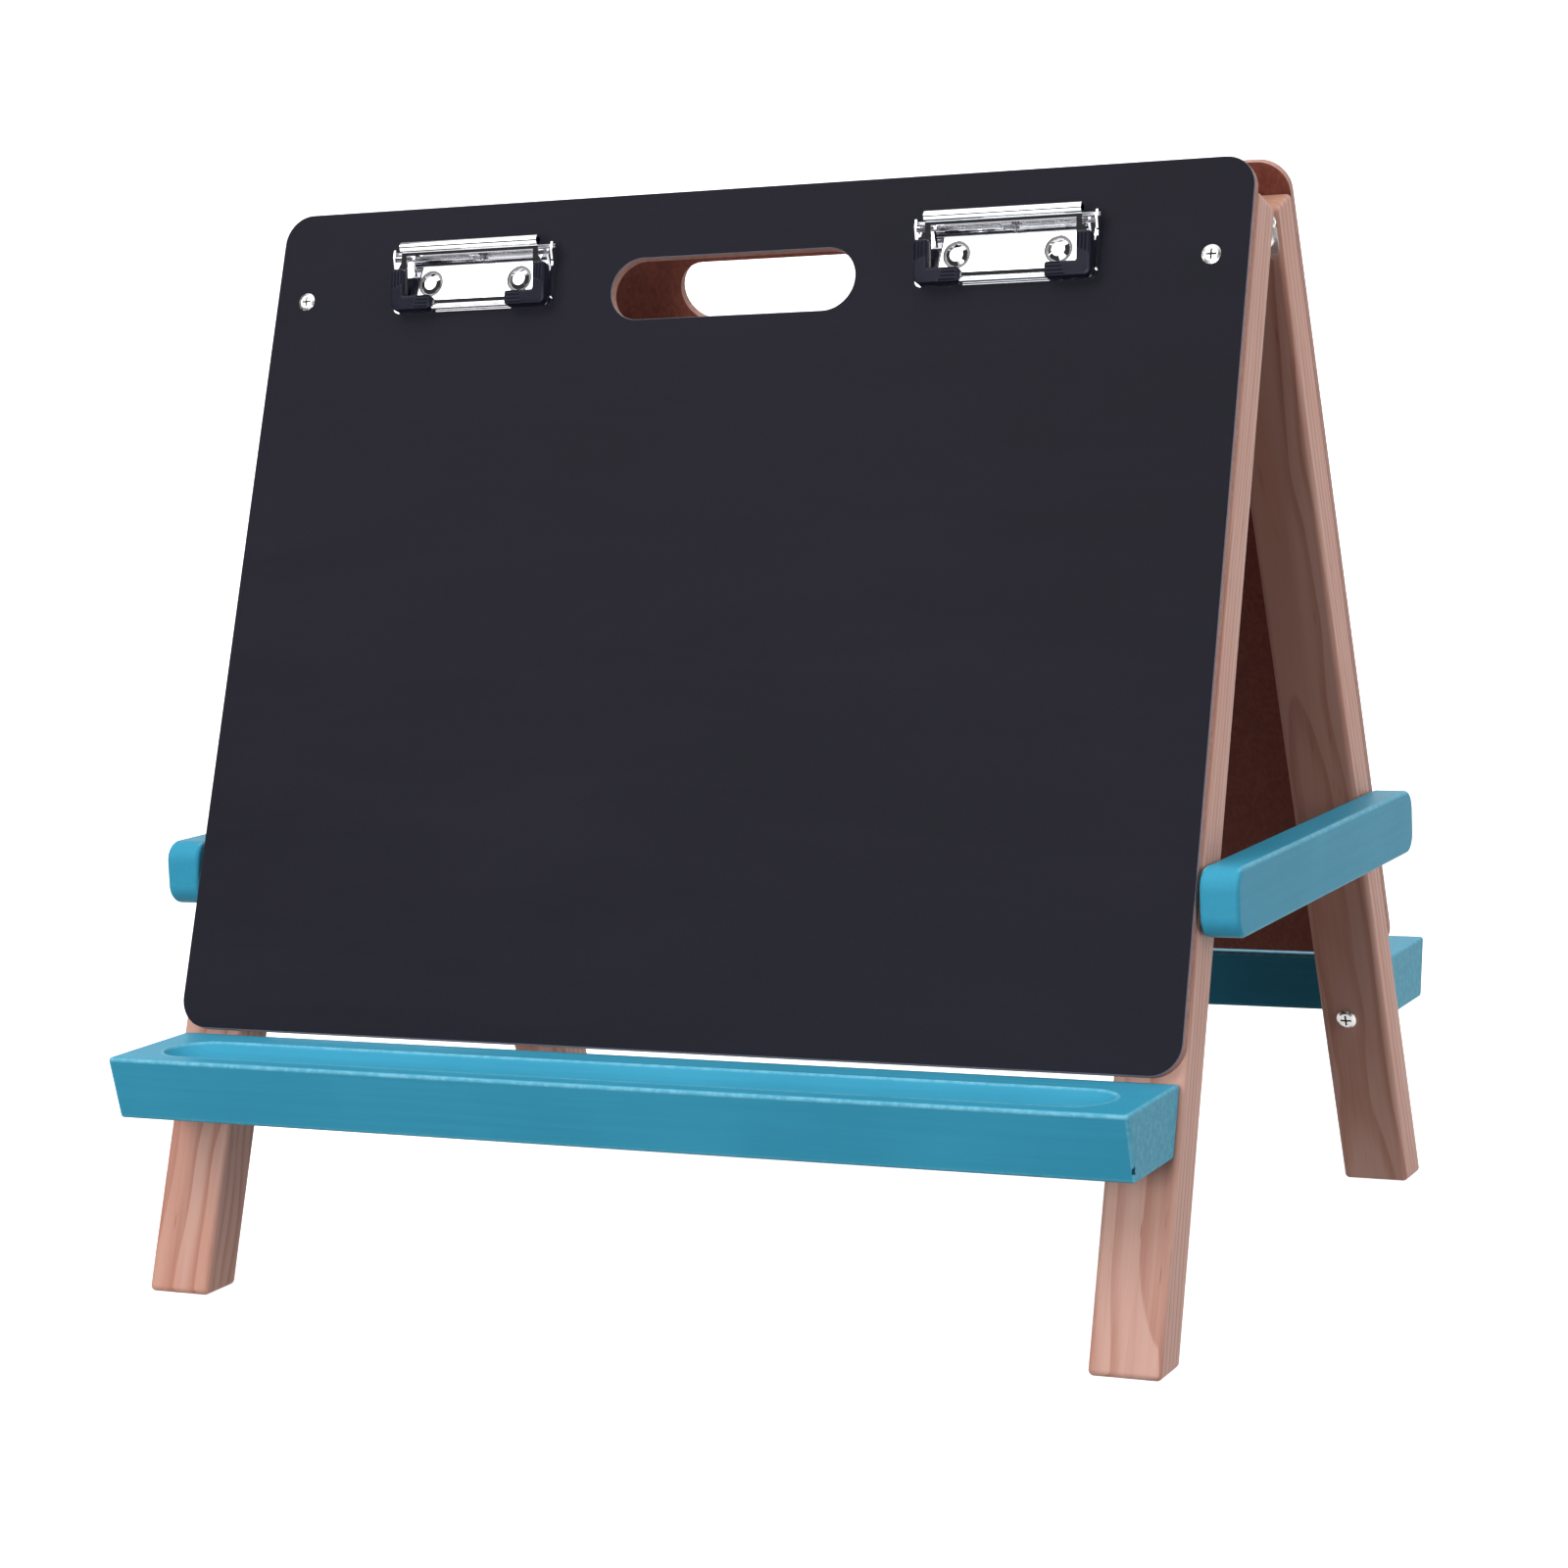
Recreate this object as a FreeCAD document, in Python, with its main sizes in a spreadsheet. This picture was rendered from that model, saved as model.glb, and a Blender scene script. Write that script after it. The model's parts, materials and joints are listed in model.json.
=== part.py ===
import FreeCAD, Part
import math
import os
import Sketcher
from types import SimpleNamespace

# Double-sided tabletop easel for children: two boarded frames hinged at the top, a pencil tray on each,
# and two wooden bars that swing up from the front legs and hook over pins on the rear legs.
# X runs along the width, +Y to the rear, +Z up; the origin is on the floor under the middle.

VALUES = {
    "lean": 19.5,               # each frame's angle from upright, degrees
    "hinge_height": 424.4,      # hinge axis above the floor
    "inner_gap": 2.5,           # hinge axis to a leg's inner face
    "leg_depth": 21.0,
    "leg_width": 29.0,
    "leg_outside": 225.5,       # middle of the easel to a leg's outer side
    "leg_above": 4.5,           # leg's square-cut top above the hinge axis, along the leg
    "leg_rounding": 2.2,
    "board_width": 450.0,
    "board_height": 364.0,
    "board_depth": 4.5,
    "board_above": 17.9,        # board's top edge above the hinge axis, along the board
    "board_corner": 13.0,
    "edge_softness": 0.6,
    "handle_length": 113.0,
    "handle_height": 27.0,
    "handle_down": 42.3,        # board's top edge to the handle's centre line
    "board_screw_down": 40.4,
    "board_screw_out": 209.5,
    "board_screw_length": 21.0,
    "board_screw_radius": 1.75,
    "board_screw_head": 4.0,
    "board_screw_crown": 0.5,
    "tray_length": 447.5,
    "tray_height": 26.6,
    "tray_top": 104.6,          # height of the tray's top face
    "tray_top_depth": 57.0,
    "tray_foot_depth": 41.2,
    "tray_rounding": 1.4,
    "trough_length": 420.0,
    "trough_width": 32.0,
    "trough_depth": 7.0,
    "trough_back": 31.6,        # tray's back edge to the trough's middle
    "tray_screw_down": 367.3,   # hinge axis to the screw, along the leg
    "tray_screw_out": 208.0,
    "tray_screw_length": 42.0,
    "tray_screw_radius": 2.0,
    "tray_screw_head": 4.4,
    "tray_screw_crown": 2.2,
    "bar_gap": 1.0,
    "bar_width": 15.7,
    "bar_height": 27.2,
    "bar_middle": 169.4,        # height of the bar's centre line
    "bar_front": 119.7,
    "bar_rear": 117.0,
    "bar_end_rounding": 8.5,
    "bar_rounding": 1.8,
    "bolt_radius": 3.0,
    "bolt_clearance": 0.07,
    "insert_radius": 4.6,
    "insert_length": 11.0,
    "catch_radius": 3.0,
    "catch_above": 5.0,         # bar's underside to the catch pin's centre
    "catch_reach": 8.0,         # catch pin beyond the gap beside the leg
    "notch_radius": 3.5,
    "notch_depth": 8.8,
    "notch_slope": 19.6,        # ramp of the notch, degrees, along the pin's path as the frames close
    "leaf_width": 22.0,
    "leaf_length": 16.0,
    "leaf_depth": 1.1,
    "leaf_corner": 5.0,
    "leaf_outside": 224.4,
    "knuckle_radius": 2.2,
    "knuckle_gap": 0.3,
    "hinge_pin_radius": 1.0,
    "hinge_screw_down": 8.0,
    "hinge_screw_inset": 4.2,
    "hinge_screw_length": 12.0,
    "hinge_screw_radius": 1.3,
    "hinge_screw_head": 2.6,
    "hinge_screw_crown": 1.3,
    "clip_out": 123.6,          # middle of the easel to a clip's middle
    "clip_down": 25.5,          # board's top edge to the clip's own level line
    "pivot_out": 4.3,           # board's face to the clip's pivot
    "pivot_above": 2.8,         # the pivot above the clip's own level line
    "plate_half": 39.5,
    "plate_above": 4.2,
    "plate_below": 23.0,
    "plate_depth": 1.2,
    "plate_corner": 3.0,
    "ear_depth": 0.9,
    "sheet_depth": 1.0,
    "cheek_inside": 32.9,
    "jaw_top_half": 33.9,
    "jaw_low_half": 37.0,
    "lip_out": 3.1,
    "lip_below": 21.2,
    "lip_radius": 1.2,
    "roll_out": 9.0,
    "roll_above": 4.1,
    "roll_radius": 2.4,
    "window_half": 31.4,
    "window_above": 0.4,        # window's top edge above the clip's level line
    "window_below": 18.6,
    "guard_inside": 18.7,
    "guard_outside": 38.2,
    "guard_arm": 6.0,
    "guard_top": 5.5,
    "guard_foot": 22.8,
    "clip_pin_radius": 1.0,
    "rivet_out": 22.0,
    "rivet_below": 10.0,
    "rivet_radius": 2.4,
    "rivet_head_radius": 4.75,
    "dimple_radius": 6.0,
    "dimple_depth": 0.5,
    "coil_radius": 1.75,
    "coil_wire": 0.35,
    "coil_turns": 5.0,
}

FRONT = -1
REAR = 1
LEFT = -1
RIGHT = 1
HANDS = (LEFT, RIGHT)
HAND_WORDS = {LEFT: "left", RIGHT: "right"}
SIDE_WORDS = {FRONT: "front", REAR: "rear"}
ALONG_X = FreeCAD.Vector(1, 0, 0)
ACROSS = FreeCAD.Vector(0, 1, 0)


class Size:
    """A length or angle with both its number and the sheet expression that gives it."""

    def __init__(self, number, text):
        self.number = number
        self.text = text

    def joined(self, other, sign, number):
        return Size(number, "(%s %s %s)" % (self.text, sign, other.text))

    def __add__(self, other):
        other = as_size(other)
        return self.joined(other, "+", self.number + other.number)

    def __radd__(self, other):
        return as_size(other) + self

    def __sub__(self, other):
        other = as_size(other)
        return self.joined(other, "-", self.number - other.number)

    def __rsub__(self, other):
        return as_size(other) - self

    def __mul__(self, other):
        other = as_size(other)
        return self.joined(other, "*", self.number * other.number)

    def __rmul__(self, other):
        return as_size(other) * self

    def __truediv__(self, other):
        other = as_size(other)
        return self.joined(other, "/", self.number / other.number)

    def __neg__(self):
        return as_size(-1) * self


def as_size(value):
    if isinstance(value, Size):
        return value
    return Size(float(value), "(%.9g)" % value)


def sine(angle):
    return Size(math.sin(math.radians(angle.number)), "sin(%s)" % angle.text)


def cosine(angle):
    return Size(math.cos(math.radians(angle.number)), "cos(%s)" % angle.text)


doc = FreeCAD.newDocument("KidsEasel")
sheet = doc.addObject("Spreadsheet::Sheet", "sizes")
for row, (alias, value) in enumerate(VALUES.items(), start=1):
    sheet.set("A%d" % row, alias)
    sheet.set("B%d" % row, str(value))
    sheet.setAlias("B%d" % row, alias)
doc.recompute()

s = SimpleNamespace(**{alias: Size(value, "sizes." + alias) for alias, value in VALUES.items()})
lean_sin = sine(s.lean)
lean_cos = cosine(s.lean)
leg_back = s.inner_gap                        # leg's inner face, from the hinge axis, across the frame
leg_front = s.inner_gap + s.leg_depth         # leg's outer face, which the board and tray lie on
board_face = leg_front + s.board_depth
leg_middle = s.inner_gap + s.leg_depth / 2
clip_height = s.board_above - s.clip_down      # clip's level line from the hinge axis, along the board
finished = []


# ---- helpers -------------------------------------------------------------------------------------------

def bind(item, name, size):
    item.setExpression(name, as_size(size).text)


def place(item, x, y, z):
    """Move the item's own origin to a point of the easel, without turning the item."""
    for axis, size in zip("xyz", (x, y, z)):
        size = as_size(size)
        setattr(item.Placement.Base, axis, size.number)
        bind(item, "Placement.Base." + axis, size)


def place_in_frame(item, side, x, out, up):
    """Move the item to a point of the front or rear frame, measured out and up from the hinge axis."""
    out, up = as_size(out), as_size(up)
    place(item, x, side * (lean_cos * out - lean_sin * up), s.hinge_height + lean_sin * out + lean_cos * up)


def rotate(item, axis, angle):
    """Turn the item about an axis through its own origin."""
    item.Placement = FreeCAD.Placement(FreeCAD.Vector(), FreeCAD.Rotation(FreeCAD.Vector(axis), 1))
    bind(item, "Placement.Rotation.Angle", angle)


def lean_back(item, side, x=0, out=0, up=0):
    """Lean the item with its frame."""
    rotate(item, (side, 0, 0), s.lean)
    place_in_frame(item, side, x, out, up)
    return item


def aim(item, side, outward, x, out, up):
    """Point the item's own +Z out of its frame (outward 1) or into it (outward -1)."""
    rotate(item, (-side * outward, 0, 0), 90 - outward * s.lean)
    place_in_frame(item, side, x, out, up)
    return item


def point_sideways(item, hand, x, y, z):
    """Point the item's own +Z to the left or right of the easel."""
    rotate(item, (0, hand, 0), 90)
    place(item, hand * as_size(x), y, z)
    return item


def new_body(label):
    body = doc.addObject("PartDesign::Body", label)
    body.Label = label
    return body


def new_sketch(body, role, name, offset=0, across=0, up=0):
    """A sketch on one of the body's own planes, moved by the offset along the plane's normal."""
    sketch = body.newObject("Sketcher::SketchObject", name)
    plane = next(item for item in body.Origin.OriginFeatures if item.Role == role)
    sketch.AttachmentSupport = (plane, [""])
    sketch.MapMode = "FlatFace"
    bind(sketch, "AttachmentOffset.Base.x", across)
    bind(sketch, "AttachmentOffset.Base.y", up)
    bind(sketch, "AttachmentOffset.Base.z", offset)
    return sketch


def hold(sketch, kind, geometry, point, size):
    """Fix one coordinate of a point, or a radius, to a size."""
    size = as_size(size)
    if kind == "Radius":
        constraint = Sketcher.Constraint(kind, geometry, size.number)
    else:
        constraint = Sketcher.Constraint(kind, -1, 1, geometry, point, size.number)
    index = sketch.addConstraint(constraint)
    bind(sketch, "Constraints[%d]" % index, size)


def draw_polygon(sketch, corners):
    corners = [(as_size(x), as_size(y)) for x, y in corners]
    points = [FreeCAD.Vector(x.number, y.number, 0) for x, y in corners]
    first = sketch.GeometryCount
    for start, end in zip(points, points[1:] + points[:1]):
        sketch.addGeometry(Part.LineSegment(start, end), False)
    for step, (x, y) in enumerate(corners):
        after = first + (step + 1) % len(corners)
        sketch.addConstraint(Sketcher.Constraint("Coincident", first + step, 2, after, 1))
        hold(sketch, "DistanceX", first + step, 1, x)
        hold(sketch, "DistanceY", first + step, 1, y)


def draw_circle(sketch, x, y, radius):
    x, y, radius = as_size(x), as_size(y), as_size(radius)
    centre = FreeCAD.Vector(x.number, y.number, 0)
    index = sketch.addGeometry(Part.Circle(centre, FreeCAD.Vector(0, 0, 1), radius.number), False)
    hold(sketch, "DistanceX", index, 3, x)
    hold(sketch, "DistanceY", index, 3, y)
    hold(sketch, "Radius", index, 0, radius)


def draw_slot(sketch, x, y, length, height):
    """A level slot with half-round ends, from its middle, length and height."""
    radius = height / 2
    reach = (length - height) / 2
    for sign in (1, -1):
        centre = FreeCAD.Vector(x + sign * reach.number, y.number, 0)
        turn = 0 if sign > 0 else math.pi
        circle = Part.Circle(centre, FreeCAD.Vector(0, 0, 1), radius.number)
        sketch.addGeometry(Part.ArcOfCircle(circle, turn - math.pi / 2, turn + math.pi / 2), False)
    for sign in (1, -1):
        level = y.number + sign * radius.number
        start = FreeCAD.Vector(x + sign * reach.number, level, 0)
        end = FreeCAD.Vector(x - sign * reach.number, level, 0)
        sketch.addGeometry(Part.LineSegment(start, end), False)
    for line, arc_start, arc_end in ((2, 0, 1), (3, 1, 0)):
        sketch.addConstraint(Sketcher.Constraint("Coincident", line, 1, arc_start, 2))
        sketch.addConstraint(Sketcher.Constraint("Coincident", line, 2, arc_end, 1))
    for line, sign in ((2, 1), (3, -1)):
        hold(sketch, "DistanceX", line, 1, x + sign * reach)
        hold(sketch, "DistanceY", line, 1, y + sign * radius)
        hold(sketch, "DistanceX", line, 2, x - sign * reach)
        hold(sketch, "DistanceY", line, 2, y + sign * radius)
    for arc, sign in ((0, 1), (1, -1)):
        hold(sketch, "DistanceX", arc, 3, x + sign * reach)


def extrude(body, kind, sketch, length, name, both=False, back=False):
    feature = body.newObject("PartDesign::" + kind, name)
    feature.Profile = sketch
    bind(feature, "Length", length)
    if both:
        feature.Midplane = True
    feature.Reversed = back
    return feature


def pad(body, sketch, length, name, both=False, back=False):
    return extrude(body, "Pad", sketch, length, name, both, back)


def pocket(body, sketch, length, name, both=False, back=False):
    """Cut the sketch out of the body, and make sure that something was cut."""
    doc.recompute()
    before = body.Shape.Volume
    feature = extrude(body, "Pocket", sketch, length, name, both, back)
    doc.recompute()
    if not body.Shape.Volume < before - 1e-6:
        raise RuntimeError("%s cut nothing; %s" % (name, sketch.getStatusString()))
    return feature


def turn(body, kind, sketch, axis, name):
    feature = body.newObject("PartDesign::" + kind, name)
    feature.Profile = sketch
    feature.ReferenceAxis = (sketch, [axis])
    feature.Angle = 360
    return feature


def round_edges(body, radius, wanted, name):
    """Round every edge of the body that the test picks."""
    doc.recompute()
    names = ["Edge%d" % (i + 1) for i, edge in enumerate(body.Shape.Edges) if wanted(edge)]
    base = body.Tip
    feature = body.newObject("PartDesign::Fillet", name)
    feature.Base = (base, names)
    bind(feature, "Radius", radius)
    doc.recompute()
    if "Invalid" in feature.State:
        raise RuntimeError("%s could not be rounded" % name)
    return feature


def runs_along(axis):
    """A test for straight edges that run along one axis of the body."""
    def wanted(edge):
        if edge.Curve.TypeId != "Part::GeomLine":
            return False
        return abs(abs(edge.tangentAt(edge.FirstParameter).dot(axis)) - 1) < 1e-6
    return wanted


def lies_at(edge, y):
    """Whether the whole edge lies in the plane at this Y of the body."""
    box = edge.BoundBox
    return abs(box.YMin - y) < 1e-4 and abs(box.YMax - y) < 1e-4


def is_outer_guard_edge(edge, side):
    """The guard's edges on the side away from the board."""
    box = edge.BoundBox
    return min(side * box.YMin, side * box.YMax) > 5


def cut_away(base, tools, label):
    """The base with the tools' shapes taken out of it, under the label that names the node."""
    base.Label = label + "_blank"
    if len(tools) == 1:
        tool = tools[0]
    else:
        tool = doc.addObject("Part::Compound", label + "_drills")
        tool.Links = tools
    result = doc.addObject("Part::Cut", label)
    result.Base = base
    result.Tool = tool
    result.Label = label
    return result


def group(label, items):
    """Identical pieces kept together as one node of separate solids."""
    result = doc.addObject("Part::Compound", label)
    result.Links = items
    result.Label = label
    return result


def finish(item):
    finished.append(item)
    return item


# ---- fasteners -----------------------------------------------------------------------------------------

def turned_piece(name, profile):
    """A piece turned about its own Z axis from (radius, height) corners."""
    body = new_body(name)
    sketch = new_sketch(body, "XZ_Plane", name + "_section")
    draw_polygon(sketch, profile)
    turn(body, "Revolution", sketch, "V_Axis", name + "_turned")
    return body


def cross_recess(body, name, reach, level):
    """A cross for the screwdriver, cut down from the level."""
    half = reach * 0.17
    mark = new_sketch(body, "XY_Plane", name + "_cross", level)
    draw_polygon(mark, [(reach, -half), (reach, half), (half, half), (half, reach), (-half, reach), (-half, half),
                        (-reach, half), (-reach, -half), (-half, -half), (-half, -reach), (half, -reach),
                        (half, -half)])
    pocket(body, mark, reach * 0.55, name + "_recess")


def flush_screw(name, radius, length, head, crown, recessed):
    """A countersunk screw; the head's rim is at height 0 and its middle stands up by the crown."""
    body = turned_piece(name, [(0, -length), (radius, radius * 1.6 - length), (radius, radius - head),
                               (head, 0), (head * 0.7, crown * 0.75), (0, crown)])
    if recessed:
        cross_recess(body, name, head * 0.56, crown)
    return body


def pan_screw(name, radius, length, head, crown):
    """A pan-head cross-head screw; the underside of its head is at height 0."""
    body = turned_piece(name, [(0, -length), (radius, radius * 1.6 - length), (radius, 0), (head, 0),
                               (head, crown * 0.45), (head * 0.72, crown * 0.9), (0, crown)])
    cross_recess(body, name, head * 0.56, crown)
    return body


def board_screws(side, label, recessed=True):
    """The screws through the board into the legs, or without their crosses as drills for the holes."""
    made = []
    for hand in HANDS:
        item = flush_screw("%s_%s" % (label, HAND_WORDS[hand]), s.board_screw_radius, s.board_screw_length,
                           s.board_screw_head, s.board_screw_crown, recessed)
        made.append(aim(item, side, 1, hand * s.board_screw_out, board_face,
                        s.board_above - s.board_screw_down))
    return group(label, made)


def tray_screws(side, word):
    made = []
    for hand in HANDS:
        item = pan_screw("%s_%s_tray_screw" % (word, HAND_WORDS[hand]), s.tray_screw_radius,
                         s.tray_screw_length, s.tray_screw_head, s.tray_screw_crown)
        made.append(aim(item, side, -1, hand * s.tray_screw_out, leg_back, -s.tray_screw_down))
    return group(word + "_tray_screws", made)


def hinge_screws(side, word):
    """Two screws through each leaf into the leg behind it."""
    made = []
    for hand in HANDS:
        for number, inset in enumerate((s.hinge_screw_inset, s.leaf_width - s.hinge_screw_inset), start=1):
            item = pan_screw("%s_%s_hinge_screw_%d" % (word, HAND_WORDS[hand], number), s.hinge_screw_radius,
                             s.hinge_screw_length, s.hinge_screw_head, s.hinge_screw_crown)
            made.append(aim(item, side, -1, hand * (s.leaf_outside - inset), leg_back - s.leaf_depth,
                            -s.hinge_screw_down))
    return group(word + "_hinge_screws", made)


def clip_rivets(side, word, x):
    """Domed rivets that hold a clip's plate, headed over a little behind the board."""
    top = s.plate_depth - s.dimple_depth
    made = []
    for number, across in enumerate((-s.rivet_out, s.rivet_out), start=1):
        item = turned_piece("%s_rivet_%d" % (word, number),
                            [(0, -s.board_depth - 0.9), (s.rivet_radius + 0.7, -s.board_depth - 0.9),
                             (s.rivet_radius + 1.3, -s.board_depth), (s.rivet_radius, -s.board_depth),
                             (s.rivet_radius, top), (s.rivet_head_radius, top),
                             (s.rivet_head_radius - 0.2, top + 0.5), (s.rivet_head_radius * 0.6, top + 1.0),
                             (0, top + 1.2)])
        made.append(aim(item, side, 1, x + across, board_face, clip_height - s.rivet_below))
    return group(word + "_rivets", made)


# ---- boards, legs and trays ----------------------------------------------------------------------------

def board(side, word, tools):
    """A thin board with round corners and a handle slot, standing on the outer faces of two legs."""
    body = new_body(word + "_board_shape")
    half = s.board_width / 2
    outline = new_sketch(body, "XZ_Plane", word + "_board_outline", -side * leg_front)
    draw_polygon(outline, [(-half, s.board_above - s.board_height), (half, s.board_above - s.board_height),
                           (half, s.board_above), (-half, s.board_above)])
    pad(body, outline, s.board_depth, word + "_board_pad", back=side == REAR)
    round_edges(body, s.board_corner, runs_along(ACROSS), word + "_board_corners")
    handle = new_sketch(body, "XZ_Plane", word + "_handle_outline", -side * leg_front)
    draw_slot(handle, 0, s.board_above - s.handle_down, s.handle_length, s.handle_height)
    pocket(body, handle, s.board_depth, word + "_handle", back=side == FRONT)
    face = side * board_face.number
    round_edges(body, s.edge_softness, lambda edge: lies_at(edge, face), word + "_board_soft_edge")
    lean_back(body, side)
    return finish(cut_away(body, tools, word + "_board"))


def foot_level(out):
    """Where the floor crosses a line of the frame, measured along the frame from the hinge axis."""
    return (0 - s.hinge_height - lean_sin * out) / lean_cos


def leg(side, hand, word, tools):
    """A leg cut square at the top and level at the foot."""
    body = new_body(word + "_leg_shape")
    corners = [(leg_back, foot_level(leg_back)), (leg_front, foot_level(leg_front)),
               (leg_front, s.leg_above), (leg_back, s.leg_above)]
    near = s.leg_outside - s.leg_width if hand == RIGHT else -s.leg_outside
    outline = new_sketch(body, "YZ_Plane", word + "_leg_outline", near)
    draw_polygon(outline, [(side * out, up) for out, up in corners])
    pad(body, outline, s.leg_width, word + "_leg_pad")
    round_edges(body, s.leg_rounding, lambda edge: True, word + "_leg_rounding")
    lean_back(body, side)
    return finish(cut_away(body, tools, word + "_leg"))


def tray(side, word, tools):
    """A tray whose front slopes in and whose back lies on the leaning legs, with a routed trough."""
    body = new_body(word + "_tray_shape")
    slide = s.tray_height * lean_sin / lean_cos
    outline = new_sketch(body, "YZ_Plane", word + "_tray_outline")
    draw_polygon(outline, [(0, 0), (side * s.tray_top_depth, 0),
                           (side * (slide + s.tray_foot_depth), -s.tray_height),
                           (side * slide, -s.tray_height)])
    pad(body, outline, s.tray_length, word + "_tray_pad", both=True)
    round_edges(body, s.tray_rounding, lambda edge: True, word + "_tray_rounding")
    cut_trough(body, side, word)
    up = (s.tray_top - s.hinge_height - lean_sin * leg_front) / lean_cos
    place_in_frame(body, side, 0, leg_front, up)
    return finish(cut_away(body, tools, word + "_tray"))


def cut_trough(body, side, word):
    """The trough is part of a round groove, with ends swept about an upright axis."""
    half = s.trough_width / 2
    radius = (half * half + s.trough_depth * s.trough_depth) / (s.trough_depth * 2)
    centre_up = radius - s.trough_depth
    straight = s.trough_length - s.trough_width
    middle = side * s.trough_back
    run = new_sketch(body, "YZ_Plane", word + "_trough_section")
    draw_bowl(run, middle, half, radius, centre_up, True)
    pocket(body, run, straight, word + "_trough_run", both=True)
    for hand in HANDS:
        end = new_sketch(body, "XZ_Plane", "%s_%s_trough_end" % (word, HAND_WORDS[hand]), -middle,
                         across=hand * straight / 2)
        draw_bowl(end, as_size(0), half, radius, centre_up, False)
        turn(body, "Groove", end, "V_Axis", "%s_%s_trough_turn" % (word, HAND_WORDS[hand]))
    doc.recompute()


def draw_bowl(sketch, middle, half, radius, centre_up, whole):
    """The trough's section: an arc closed by a line at the top; only its right half if not whole."""
    centre = FreeCAD.Vector(middle.number, centre_up.number, 0)
    circle = Part.Circle(centre, FreeCAD.Vector(0, 0, 1), radius.number)
    reach = math.asin(half.number / radius.number)
    low = -math.pi / 2 - reach if whole else -math.pi / 2
    arc = sketch.addGeometry(Part.ArcOfCircle(circle, low, reach - math.pi / 2), False)
    right = FreeCAD.Vector(middle.number + half.number, 0, 0)
    left = FreeCAD.Vector(middle.number - (half.number if whole else 0), 0, 0)
    top = sketch.addGeometry(Part.LineSegment(right, left), False)
    sketch.addConstraint(Sketcher.Constraint("Coincident", arc, 2, top, 1))
    hold(sketch, "DistanceX", arc, 3, middle)
    hold(sketch, "DistanceY", arc, 3, centre_up)
    hold(sketch, "DistanceX", top, 1, middle + half)
    hold(sketch, "DistanceY", top, 1, 0)
    hold(sketch, "DistanceY", top, 2, 0)
    if whole:
        sketch.addConstraint(Sketcher.Constraint("Coincident", arc, 1, top, 2))
        return
    deepest = FreeCAD.Vector(middle.number, centre_up.number - radius.number, 0)
    drop = sketch.addGeometry(Part.LineSegment(left, deepest), False)
    sketch.addConstraint(Sketcher.Constraint("Coincident", top, 2, drop, 1))
    sketch.addConstraint(Sketcher.Constraint("Coincident", drop, 2, arc, 1))
    hold(sketch, "DistanceX", drop, 1, middle)
    hold(sketch, "DistanceX", drop, 2, middle)


# ---- side bars -----------------------------------------------------------------------------------------

def bar_pivot():
    """Where the bar's centre line crosses the front leg's, as distances to the rear and up."""
    up = (s.bar_middle - s.hinge_height - lean_sin * leg_middle) / lean_cos
    return lean_sin * up - lean_cos * leg_middle, s.bar_middle


def catch_place():
    """The catch pin's centre on the rear leg's centre line, just above the bar's underside."""
    height = s.bar_middle - s.bar_height / 2 + s.catch_above
    up = (height - s.hinge_height - lean_sin * leg_middle) / lean_cos
    return lean_cos * leg_middle - lean_sin * up, height


def side_bar(hand, word, tools):
    body = new_body(word + "_side_bar_shape")
    near = s.leg_outside + s.bar_gap
    low = -s.bar_height / 2
    outline = new_sketch(body, "YZ_Plane", word + "_bar_outline", hand * near)
    draw_polygon(outline, [(-s.bar_front, low), (s.bar_rear, low), (s.bar_rear, -low), (-s.bar_front, -low)])
    pad(body, outline, s.bar_width, word + "_bar_pad", back=hand == LEFT)
    round_edges(body, s.bar_end_rounding, runs_along(ALONG_X), word + "_bar_ends")
    round_edges(body, s.bar_rounding, lambda edge: not runs_along(ALONG_X)(edge), word + "_bar_soft_edges")
    notch = new_sketch(body, "YZ_Plane", word + "_bar_notch_outline", hand * near)
    catch_y, catch_z = catch_place()
    draw_notch(notch, catch_y, catch_z - s.bar_middle, low - 1)
    pocket(body, notch, s.notch_depth, word + "_bar_notch", back=hand == RIGHT)
    place(body, 0, 0, s.bar_middle)
    return finish(cut_away(body, tools, word + "_side_bar"))


def draw_notch(sketch, y, z, floor):
    """An upright rear wall, a round seat over the catch pin, and a ramp down and forward."""
    radius = s.notch_radius
    slope = math.radians(s.notch_slope.number)
    circle = Part.Circle(FreeCAD.Vector(y.number, z.number, 0), FreeCAD.Vector(0, 0, 1), radius.number)
    seat = sketch.addGeometry(Part.ArcOfCircle(circle, 0, math.pi / 2 + slope), False)
    seat_y = y - radius * sine(s.notch_slope)
    seat_z = z + radius * cosine(s.notch_slope)
    ramp_y = seat_y - (seat_z - floor) * cosine(s.notch_slope) / sine(s.notch_slope)
    ends = [(y + radius, floor), (y + radius, z), (seat_y, seat_z), (ramp_y, floor)]
    points = [FreeCAD.Vector(a.number, b.number, 0) for a, b in ends]
    wall = sketch.addGeometry(Part.LineSegment(points[0], points[1]), False)
    ramp = sketch.addGeometry(Part.LineSegment(points[2], points[3]), False)
    base = sketch.addGeometry(Part.LineSegment(points[3], points[0]), False)
    for one, one_end, two, two_end in ((wall, 2, seat, 1), (seat, 2, ramp, 1), (ramp, 2, base, 1),
                                       (base, 2, wall, 1)):
        sketch.addConstraint(Sketcher.Constraint("Coincident", one, one_end, two, two_end))
    for line, (across, up) in ((wall, ends[0]), (ramp, ends[2]), (base, ends[3])):
        hold(sketch, "DistanceX", line, 1, across)
        hold(sketch, "DistanceY", line, 1, up)
    hold(sketch, "DistanceX", seat, 3, y)
    hold(sketch, "DistanceY", seat, 3, z)
    hold(sketch, "DistanceY", wall, 2, z)


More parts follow.
